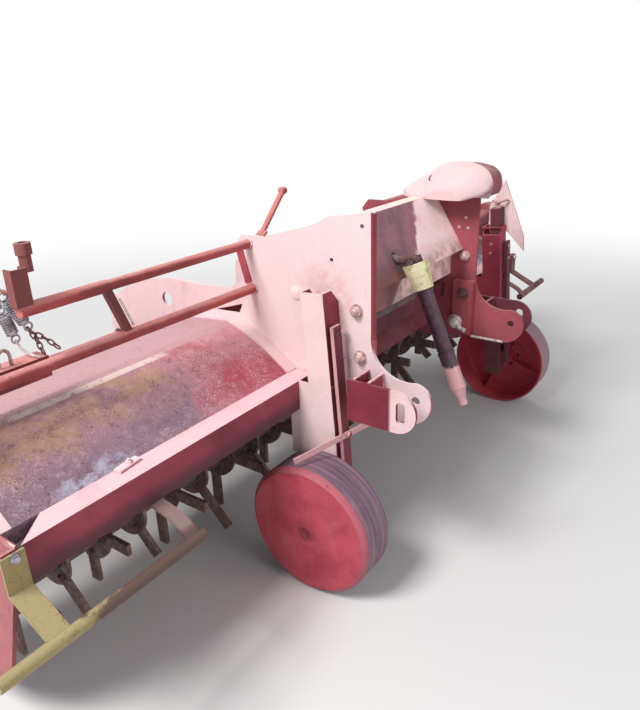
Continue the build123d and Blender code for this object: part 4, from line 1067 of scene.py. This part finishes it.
def chain(shape, points, pitch=0.0172):
    """Links along a bent line, each turned a quarter from the last."""
    points = np.array(points, float)
    reach = np.concatenate([[0], np.cumsum(np.linalg.norm(np.diff(points, axis=0), axis=1))])
    count = int(reach[-1] / pitch)
    at = (np.arange(count) + 0.5) * reach[-1] / count
    middle = np.stack([np.interp(at, reach, points[:, i]) for i in range(3)], axis=1)
    ahead = np.stack([np.interp(at + 0.004, reach, points[:, i]) for i in range(3)], axis=1)
    behind = np.stack([np.interp(at - 0.004, reach, points[:, i]) for i in range(3)], axis=1)
    for number in range(count):
        link(shape, middle[number], ahead[number] - behind[number], math.pi / 2 * (number % 2))


def bow(points, steps=24):
    """A smooth line through three points: the parabola that meets the middle one half way."""
    a, b, c = (np.array(p, float) for p in points)
    share = np.linspace(0, 1, steps)[:, None]
    return a * (1 - share) + c * share + 4 * share * (1 - share) * (b - (a + c) / 2)


CHAIN_LINES = (
    ((1.303, -0.051, 1.124), (1.288, -0.058, 1.085), (1.278, -0.064, 1.042)),
    ((1.296, -0.045, 1.110), (1.262, -0.062, 1.080), (1.245, -0.090, 1.052)),
)
HOOK_LINE = ((1.327, -0.019, 1.090), (1.318, -0.040, 1.058), (1.297, -0.075, 1.040))
for word, side in SIDES.items():
    mirror = np.array([side, 1, 1])
    chains = Shape()
    for points in CHAIN_LINES:
        chain(chains, np.array(points) * mirror)
    chains.make(f"spring_chains_{word}", "frame", "spring_steel", "rusty_rod")
    hooks = Shape()
    hooks.add(sweep(bow(np.array(HOOK_LINE) * mirror), circle(0.004, 8)))
    turn = np.linspace(0, np.pi, 16)
    over = np.stack(
        [1.385 + 0.017 * np.cos(turn), -0.050 + 0 * turn, 1.062 + 0.022 * np.sin(turn)], axis=1
    )
    loop = np.concatenate([[(1.402, -0.050, 1.034)], over, [(1.368, -0.050, 1.034)]]) * mirror
    hooks.add(sweep(loop, circle(0.005, 8), up=BACKWARD))
    prop = line((1.052, -0.130, 1.150), (1.018, -0.134, 1.060)) * mirror
    hooks.add(sweep(prop, circle(0.004, 8), up=BACKWARD))
    hooks.make(f"hook_rods_{word}", "frame", "spring_steel", "pale_casting")
    rows = [((side * x, -0.041, 1.036), UP, 0.006) for x in (1.450, 1.560)]
    bolts(f"anchor_bolts_{word}", "frame", "dark_bolt", rows)

# %% [markdown]
# The rear edges of the headstock plates carry a turned flange between the two rails, a rolled rim
# runs round the drive cover where it meets the plate, and a small half-round slot is pressed into
# its side. These are strips and wires along lines that the frame already has.

# %% Flanges and rims
# The flanges and the strip along the left plate's front edge take a dark red that is painted shade
# on the plate edges.
for word, side in SIDES.items():
    flange = Shape()
    edge = line((side * 0.451, -0.062, 1.178), (side * 0.451, -0.100, 1.046), 4)
    flange.add(sweep(edge, flat(0.034, 0.006), up=(side, 0, 0)))
    if side < 0:
        front_edge = line((-0.425, -0.621, 0.908), (-0.425, -0.621, 1.334), 3)
        flange.add(sweep(front_edge, flat(0.026, 0.006), up=BACKWARD))
    flange.make(f"plate_flange_{word}", "frame", "red_paint", "edge_shade_red")


def cover_line(inset, steps=60):
    """The cover's end section as (y, z): two parabolas through three points each, then a run."""
    nose, tail, crown, base = -0.674 + inset, -0.269 - inset, 1.408 - inset, 1.262
    run, rise, third = tail - nose, crown - base, steps // 3

    def spot(share_of_run, share_of_rise):
        """A point of the section: so far along its run, and so far up its rise."""
        return (nose + share_of_run * run, base + share_of_rise * rise, 0)

    front = bow([(nose + 0.03 * run, base + 0.002, 0), spot(0, 0.5), spot(0.148, 0.918)], third)
    top = bow([front[-1], (nose + 0.37 * run, crown, 0), spot(0.593, 0.848)], third)
    rear = line(top[-1], spot(1, 0.177), third)
    return np.concatenate([front, top[1:], rear[1:]])[:, :2]


rim = Shape()
for x, inset, wire in ((0.4385, 0.0052, 0.0045), (0.596, 0.0225, 0.004)):
    section = cover_line(inset)
    path = np.column_stack([np.full(len(section), x), section])
    rim.add(sweep(path, circle(wire, 8), up=EAST))
rim.make("cover_rim", "frame", "faded_red", "pale_rim")
slot_mark = Shape()
slot_line = bow([(0.352, -0.436, 1.333), (0.362, -0.424, 1.341), (0.376, -0.428, 1.352)], 12)
slot_mark.add(sweep(slot_line, circle(0.003, 8)))
slot_mark.make("cover_slot", "frame", "faded_red", "dark_bolt")

# %% [markdown]
# A land wheel is a steel drum with a flat disc. The frame has its shape. What it lacks is the
# pressed dimple with a grease cap in the middle of the disc, and, on the open side, the hub's
# flange with its bolts and four stiffening ribs. They turn with the wheel, so they ride with it.

# %% Land wheels
DISC_X = {"left": 0.702, "right": 1.300}


def bolt_circle(y, z, radius, angles):
    """The (y, z) of bolts round a middle: the radius times cos and sin of each angle."""
    return [(y + radius * math.cos(a), z + radius * math.sin(a)) for a in angles]


for word, side in SIDES.items():
    outer = DISC_X[word]
    out = (side, 0, 0)
    cap = Shape()
    dimple = [
        (0, 0.0005), (0.010, 0.0005), (0.014, 0.003), (0.022, 0.0045), (0.030, 0.003),
        (0.034, -0.001), (0, -0.001),
    ]
    cap.add(lathe(dimple, (side * outer, AXLE_Y, AXLE_Z), out, 32))
    cap.make(f"hub_cap_{word}", f"land_wheel_{word}", "wheel_red", "wheel_paint")
    hub = Shape()
    seat = side * (outer - 0.008)
    flange = [(0.046, 0.001), (0.095, 0.001), (0.095, -0.009), (0.046, -0.009), (0.046, 0.001)]
    hub.add(lathe(flange, (seat, AXLE_Y, AXLE_Z), out, 36))
    middle = np.array([seat - side * 0.028, AXLE_Y, AXLE_Z])
    for turn in np.arange(4) * np.pi / 2 + 0.4:
        outward = np.array([0, math.cos(turn), math.sin(turn)])
        rib = line(middle + 0.044 * outward, middle + 0.243 * outward)
        hub.add(sweep(rib, flat(0.006, 0.060), up=out))
    hub.make(f"wheel_hub_{word}", f"land_wheel_{word}", "wheel_red", "wheel_paint")
    bolts(f"hub_bolts_{word}", f"land_wheel_{word}", "dark_bolt", [
        ((seat - side * 0.009, *spot), (-side, 0, 0), 0.006)
        for spot in bolt_circle(AXLE_Y, AXLE_Z, 0.072, np.arange(6) * np.pi / 3)
    ])

# %% [markdown]
# Each leg slides in a box and is held by a pin through the strap on its front. The pin has a ring
# through its head so that it can't drop out, and two bolts hold the strap. Weld beads show where
# the boxes were joined to the machine. A short turn buckle with two levers stands on top of the
# right-hand leg. Legs and boxes lean back, so all of it is placed upright first and then tipped.

# %% Leg pins and levers
LEAN_BACK = math.radians(4.2)
# each side: the holder's two faces along X, the middle of the strap, the top of the strap
HOLDERS = {"left": (-0.538, -0.450, -0.481, 0.965), "right": (1.048, 1.136, 1.105, 0.940)}
HOLDER_TOP_RIGHT = 1.016


def leaned(x, y, z):
    """A point drawn upright, tipped back about the wheel's axle as the legs are."""
    up, back = z - AXLE_Z, y - AXLE_Y
    cos, sin = math.cos(LEAN_BACK), math.sin(LEAN_BACK)
    return (x, AXLE_Y + back * cos + up * sin, AXLE_Z + up * cos - back * sin)


for word, (x0, x1, strap_x, strap_top) in HOLDERS.items():
    pins = Shape()
    head = leaned(strap_x, AXLE_Y - 0.0745, strap_top - 0.025)
    pin = [(0, -0.006), (0.0078, -0.006), (0.0078, 0.006), (0.0065, 0.008), (0, 0.008)]
    pins.add(lathe(pin, head, FRONTWARD, 16))
    pins.add(ring(np.array(head) + (0, -0.005, -0.010), FRONTWARD, 0.010, 0.0016), along=True)
    for low in (0.560, 0.850):
        add_bolt(pins, leaned(strap_x, AXLE_Y - 0.0735, low), FRONTWARD, 0.004)
    pins.make(f"strap_pins_{word}", f"wheel_leg_{word}", "dark_red", "pale_bolt")
    rims = Shape()
    if word == "right":
        low_x, high_x, half = x0 - 0.001, x1 + 0.001, 0.0485
        corners = ((low_x, -half), (high_x, -half), (high_x, half), (low_x, half), (low_x, -half))
        rims.add(bead([leaned(x, AXLE_Y + y, HOLDER_TOP_RIGHT) for x, y in corners], 0.004))
    rims.add(bead([leaned(x, AXLE_Y - 0.0475, 0.746) for x in (x0 + 0.002, x1 - 0.002)], 0.004))
    rims.make(f"holder_welds_{word}", "frame", "red_paint", "holder_painted_shade")

levers = Shape()
_, y, z = top = leaned(1.092, -0.530, 1.112)
stem = [(0, -0.004), (0.015, -0.004), (0.015, 0.010), (0.008, 0.014), (0.008, 0.036), (0, 0.036)]
levers.add(lathe(stem, top, UP, 16))
for start, end in (
    ((1.068, y + 0.004, z + 0.028), (1.122, y - 0.036, z + 0.040)),
    ((1.088, y - 0.004, z + 0.024), (1.110, y + 0.040, z + 0.030)),
):
    levers.add(sweep(line(start, end), circle(0.007, 8)))
levers.make("leg_levers", "wheel_leg_right", "dark_red", "leg_paint")

# %% [markdown]
# On the rotor every tine is bolted to its flange, so there are nuts all round. The angle of the
# tines alternates from flange to flange by an eighth of a turn. The same loop that steps through
# the flanges places the nuts, with a coarse bolt, because there are so many of them.

# %% Rotor nuts
ROTOR_Y, ROTOR_Z = 0.021, 0.370
FLANGES, FLANGE_STEP, NUT_CIRCLE = 21, 0.150, 0.088
nuts = Shape()
nut = [(0, -0.001), (0.013, -0.001), (0.013, 0.009), (0.011, 0.011), (0, 0.011)]
for number in range(FLANGES):
    x = (number - FLANGES // 2) * FLANGE_STEP
    for quarter in range(4):
        turn = math.pi / 4 * (number % 2) + math.pi / 2 * quarter
        away = NUT_CIRCLE * np.array([0, -math.sin(turn), math.cos(turn)])
        nuts.add(lathe(nut, np.array([x - 0.008, ROTOR_Y, ROTOR_Z]) + away, WEST, 6))
        nuts.add(lathe(nut, np.array([x + 0.008, ROTOR_Y, ROTOR_Z]) + away, EAST, 6))
nuts.make("rotor_nuts", "rotor", "bare_steel", "dark_bolt")

# %% [markdown]
# The rotor runs in a bearing on each end plate. The left one shows: a round cast housing with a
# cover, four bolts and a grease nipple. On the right the chain case takes its place, closed by a
# ring of small bolts, with an oil plug low down.

# %% End bearings and case bolts
bearing = Shape()
housing = [
    (0, 0), (0.078, 0), (0.078, 0.012), (0.052, 0.016), (0.050, 0.034), (0.044, 0.038), (0, 0.038),
]
bearing.add(lathe(housing, (-1.632, ROTOR_Y, ROTOR_Z), WEST, 40))
nipple = [(0, 0), (0.005, 0), (0.005, 0.010), (0.003, 0.016), (0, 0.016)]
bearing.add(lathe(nipple, (-1.668, ROTOR_Y, ROTOR_Z + 0.030), WEST, 10))
bearing.make("rotor_bearing", "frame", "red_paint", "cast_iron")
bolts("bearing_bolts", "frame", "dark_bolt", [
    ((-1.643, *spot), WEST, 0.006)
    for spot in bolt_circle(ROTOR_Y, ROTOR_Z, 0.064, (0.785, 2.356, 3.927, 5.498))
])
CASE_FACE = 1.702
case_edge = (
    (-0.245, 0.955), (-0.222, 1.006), (-0.165, 1.020), (-0.128, 0.985), (-0.060, 0.820),
    (0.000, 0.640), (0.062, 0.480), (0.108, 0.365), (0.075, 0.292), (0.000, 0.278),
    (-0.070, 0.330), (-0.100, 0.450), (-0.150, 0.640), (-0.205, 0.830),
)
bolts("case_bolts", "frame", "dark_bolt", [((CASE_FACE, y, z), EAST, 0.0045) for y, z in case_edge])
plug = Shape()
screw = [(0, -0.001), (0.020, -0.001), (0.020, 0.004), (0.012, 0.004), (0.012, 0.014), (0, 0.014)]
plug.add(lathe(screw, (CASE_FACE, ROTOR_Y, 0.340), EAST, 6))
cap = [(0, -0.001), (0.050, -0.001), (0.050, 0.006), (0.044, 0.010), (0, 0.010)]
plug.add(lathe(cap, (CASE_FACE, ROTOR_Y, 0.395), EAST, 36))
plug.make("case_plug", "frame", "red_paint", "rear_red")

# %% [markdown]
# The ridging bodies hang from the cross beam on two posts each, clamped by U-bolts, so that they
# can be slid to the row width. A U-bolt is a rod bent round the beam, with a flat plate and two
# nuts in front. The bodies swing with the whole set, so these pieces ride with it too.

# %% Ridging set clamps
BEAM_Y0, BEAM_Y1, BEAM_Z0, BEAM_Z1 = 0.620, 0.710, 0.620, 0.710
ROWS_X = (-1.125, -0.375, 0.375, 1.125)
POSTS = (-0.070, 0.070)
clamps = Shape()
for row_x in ROWS_X:
    for post in POSTS:
        for off in (-0.016, 0.016):
            x = row_x + post + off
            over, under = BEAM_Z1 + 0.007, BEAM_Z0 - 0.007
            u_bolt = [
                (x, BEAM_Y0 - 0.018, over), (x, BEAM_Y1 + 0.003, over),
                (x, BEAM_Y1 + 0.007, BEAM_Z1 + 0.003), (x, BEAM_Y1 + 0.007, BEAM_Z0 - 0.003),
                (x, BEAM_Y1 + 0.003, under), (x, BEAM_Y0 - 0.018, under),
            ]
            clamps.add(sweep(u_bolt, circle(0.006, 8), up=EAST))
            for z in (over, under):
                nut = [(0, 0), (0.011, 0), (0.011, 0.009), (0, 0.009)]
                clamps.add(lathe(nut, (x, BEAM_Y0 - 0.008, z), FRONTWARD, 6))
        x, y = row_x + post, BEAM_Y0 - 0.004
        strap = line((x, y, BEAM_Z0 - 0.020), (x, y, BEAM_Z1 + 0.020))
        clamps.add(sweep(strap, flat(0.056, 0.008), up=FRONTWARD))
clamps.make("ridger_clamps", "ridger", "bare_steel", "rusty_rod")
bolts("ridger_bolts", "ridger", "dark_bolt", [
    ((row_x + post, 0.411, z), FRONTWARD, 0.006)
    for row_x in ROWS_X for z in (0.56, 0.45) for post in POSTS
])
arm_pins = Shape()
washer = [
    (0, -0.001), (0.034, -0.001), (0.034, 0.007), (0.016, 0.009), (0.016, 0.016), (0, 0.016),
]
for side in SIDES.values():
    arm_pins.add(bead([(side * 0.4205, y, 0.711) for y in (0.621, 0.708)], 0.005))
    arm_pins.add(lathe(washer, (side * 0.421, *LOW_RAIL), (-side, 0, 0), 24))
arm_pins.make("ridger_pins", "ridger", "bare_steel", "rusty_rod")

# %% [markdown]
# The power shaft hangs from the gearbox's input. Its universal joint is a cross between two forks,
# under a plastic cone. Everything here is drawn straight down from the joint and then swung to the
# angle at which the shaft hangs, which is a turn about X and a move, done to whole arrays at once.

# %% Power shaft
JOINT = np.array([-0.095, -0.5975, 1.107])
HANG = math.radians(-23.0)


def swung(grid):
    """Turns points drawn under the joint by the angle it hangs at, then moves them there."""
    x, y, z = np.moveaxis(np.asarray(grid, float), -1, 0)
    cos, sin = math.cos(HANG), math.sin(HANG)
    return np.stack([x, y * cos - z * sin, y * sin + z * cos], axis=-1) + JOINT


joint_cross = Shape()
cross_rod = [(0, -0.036), (0.008, -0.036), (0.008, 0.036), (0, 0.036)]
joint_cross.add(swung(lathe(cross_rod, (0, 0, 0), EAST, 14)))
cross_cap = [(0, 0), (0.013, 0), (0.013, 0.004), (0.010, 0.007), (0, 0.007)]
for side in SIDES.values():
    joint_cross.add(swung(lathe(cross_cap, (side * 0.0345, 0, 0), (side, 0, 0), 18)))
joint_cross.make("shaft_joint_cross", "pto", "shaft_steel", "cast_iron")
collars = Shape()
for z, radius in ((-0.118, 0.0315), (-0.345, 0.0300), (-0.362, 0.0325), (-0.498, 0.0320)):
    low = radius - 0.004
    band = [(low, -0.005), (radius, -0.004), (radius, 0.004), (low, 0.005), (low, -0.005)]
    collars.add(swung(lathe(band, (0, 0, z), UP, 28)))
collars.make("shaft_collars", "pto", "shaft_steel", "dark_tube")
cone_ribs = Shape()
for share in (0.03, 0.25, 0.48, 0.72, 0.97):
    radius = 0.048 * (1 - 0.24 * share) - 0.0003
    cone_ribs.add(swung(ring((0, 0, -0.008 - 0.100 * share), UP, radius, 0.0016, 40)), along=True)
for turn in np.arange(10) * np.pi / 5:
    away = np.array([math.cos(turn), math.sin(turn), 0])
    start, end = 0.0480 * away + (0, 0, -0.010), 0.0366 * away + (0, 0, -0.106)
    cone_ribs.add(swung(sweep(line(start, end), circle(0.0015, 6), up=away)))
cone_ribs.make("cone_ribs", "pto", "cone_yellow", "cone_plastic")

# %% [markdown]
# The gearbox is a casting: a bolted lid with a breather, upright ribs, a round cover behind and a
# flange round its input shaft. Ribs on a casting have soft corners, which a flat bar profile with
# cut corners gives, and the lid is the same profile made wide. The round parts are lathe shapes.

# %% Gearbox fittings
LID_TOP = 1.152
REAR_COVER_Z = 1.010
box = Shape()
box.add(sweep(line((-0.132, -0.354, 1.146), (0.132, -0.354, 1.146)), flat(0.216, 0.014, 0.004)))
for x in (-0.100, -0.034, 0.034, 0.100):
    box.add(
        sweep(line((x, -0.236, 0.910), (x, -0.236, 1.128)), flat(0.012, 0.020, 0.003), up=BACKWARD)
    )
for y in (-0.420, -0.354, -0.288):
    for side in SIDES.values():
        rib = line((side * 0.146, y, 0.912), (side * 0.146, y, 1.128))
        box.add(sweep(rib, flat(0.014, 0.020, 0.003), up=(side, 0, 0)))
input_flange = [(0, 0), (0.034, 0), (0.034, 0.010), (0.026, 0.018), (0, 0.018)]
box.add(lathe(input_flange, (-0.095, -0.468, 1.107), FRONTWARD, 32))
rear_cover = [(0, 0), (0.062, 0), (0.062, 0.012), (0.050, 0.018), (0, 0.018)]
box.add(lathe(rear_cover, (0.000, -0.232, REAR_COVER_Z), BACKWARD, 36))
breather = [(0, 0), (0.016, 0), (0.016, 0.008), (0.009, 0.010), (0.009, 0.026), (0, 0.026)]
box.add(lathe(breather, (0.080, -0.354, LID_TOP), UP, 18))
box.make("gearbox_fittings", "frame", "cast_grey", "cast_iron")
lid = [((x, y, LID_TOP), UP, 0.005) for x in (-0.115, 0.0, 0.115) for y in (-0.442, -0.268)]
rear = [
    ((x, -0.220, z), BACKWARD, 0.004)
    for x, z in bolt_circle(0.0, REAR_COVER_Z, 0.051, (0.5, 2.07, 3.64, 5.21))
]
foot = [((side * 0.157, y, 0.905), UP, 0.007) for side in (-1, 1) for y in (-0.455, -0.254)]
bolts("gearbox_bolts", "frame", "dark_bolt", lid + rear + foot, slot="cast_grey")

# %% [markdown]
# A few small things are left: the bolt on the yellow bracket of the guard, a tab with a bolt on
# the beam, a worn casting inside the right hitch, a pale button on the left plate, dots of bright
# metal where pins rubbed through the paint, and the hand lever behind the left plate.

# %% Small fittings
for word, side in SIDES.items():
    guard_bolt = ((side * 1.633, -0.387, 0.728), FRONTWARD, 0.0070)
    bolts(f"guard_bolts_{word}", "frame", "spring_wire", [guard_bolt])
tab = Shape()
tab.add(sweep(line((-1.285, -0.318, 0.750), (-1.205, -0.309, 0.750)), flat(0.028, 0.007)))
add_bolt(tab, (-1.240, -0.313, 0.753), UP, 0.006)
tab.make("beam_tab", "frame", "red_paint", "collar_paint")
casting = Shape()
knuckle = [
    (0, -0.004), (0.030, -0.004), (0.033, 0.008), (0.020, 0.016), (0.018, 0.030), (0.010, 0.034),
    (0, 0.034),
]
casting.add(lathe(knuckle, (0.412, -0.552, 0.716), WEST, 22))
tail = bow([(0.404, -0.560, 0.740), (0.398, -0.572, 0.700), (0.404, -0.606, 0.680)], 14)
casting.add(sweep(tail, circle(0.011, 10)))
casting.add(sweep(line((0.430, -0.622, 0.650), (0.430, -0.770, 0.650), 3), circle(0.006, 8)))
casting.make("hitch_casting", "frame", "bare_steel", "pale_casting")
boss = Shape()
button = [(0, -0.001), (0.026, -0.001), (0.024, 0.003), (0.012, 0.007), (0, 0.008)]
boss.add(lathe(button, (-PLATE_OUT, -0.317, 1.037), WEST, 24))
boss.add(sweep(line((-0.454, -0.334, 1.044), (-0.454, -0.372, 1.052)), flat(0.012, 0.005), up=WEST))
boss.make("plate_boss", "frame", "bare_steel", "pale_rim")
rubbed_dots = Shape()
dot = [(0, -0.001), (0.007, -0.001), (0.007, 0.0012), (0.004, 0.002), (0, 0.002)]
for place in (
    (PLATE_IN, -0.566, 1.176), (PLATE_IN, -0.536, 1.134), (PLATE_IN, -0.577, 1.132),
    (1.048, -0.457, 0.930), (1.048, -0.455, 0.882),
):
    rubbed_dots.add(lathe(dot, place, WEST, 16))
rubbed_dots.make("rubbed_pin_ends", "frame", "bare_steel", "pale_bolt")
lever = Shape()
foot_line = line((-0.436, -0.116, 1.176), (-0.366, -0.112, 1.222))
lever.add(sweep(foot_line, flat(0.040, 0.010), up=(-0.5, 0, 0.8)))
handle = line((-0.382, -0.112, 1.208), (-0.240, -0.110, 1.348))
lever.add(sweep(handle, circle(0.011, 12), up=BACKWARD))
knob = [(0, -0.014), (0.013, -0.012), (0.015, 0.0), (0.013, 0.012), (0, 0.014)]
lever.add(lathe(knob, (-0.236, -0.110, 1.352), EAST, 16))
lever.make("hand_lever", "frame", "red_paint", "rail_paint")

# %% [markdown] Blender must not change the machine's size: whatever was added has to stay inside
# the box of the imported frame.
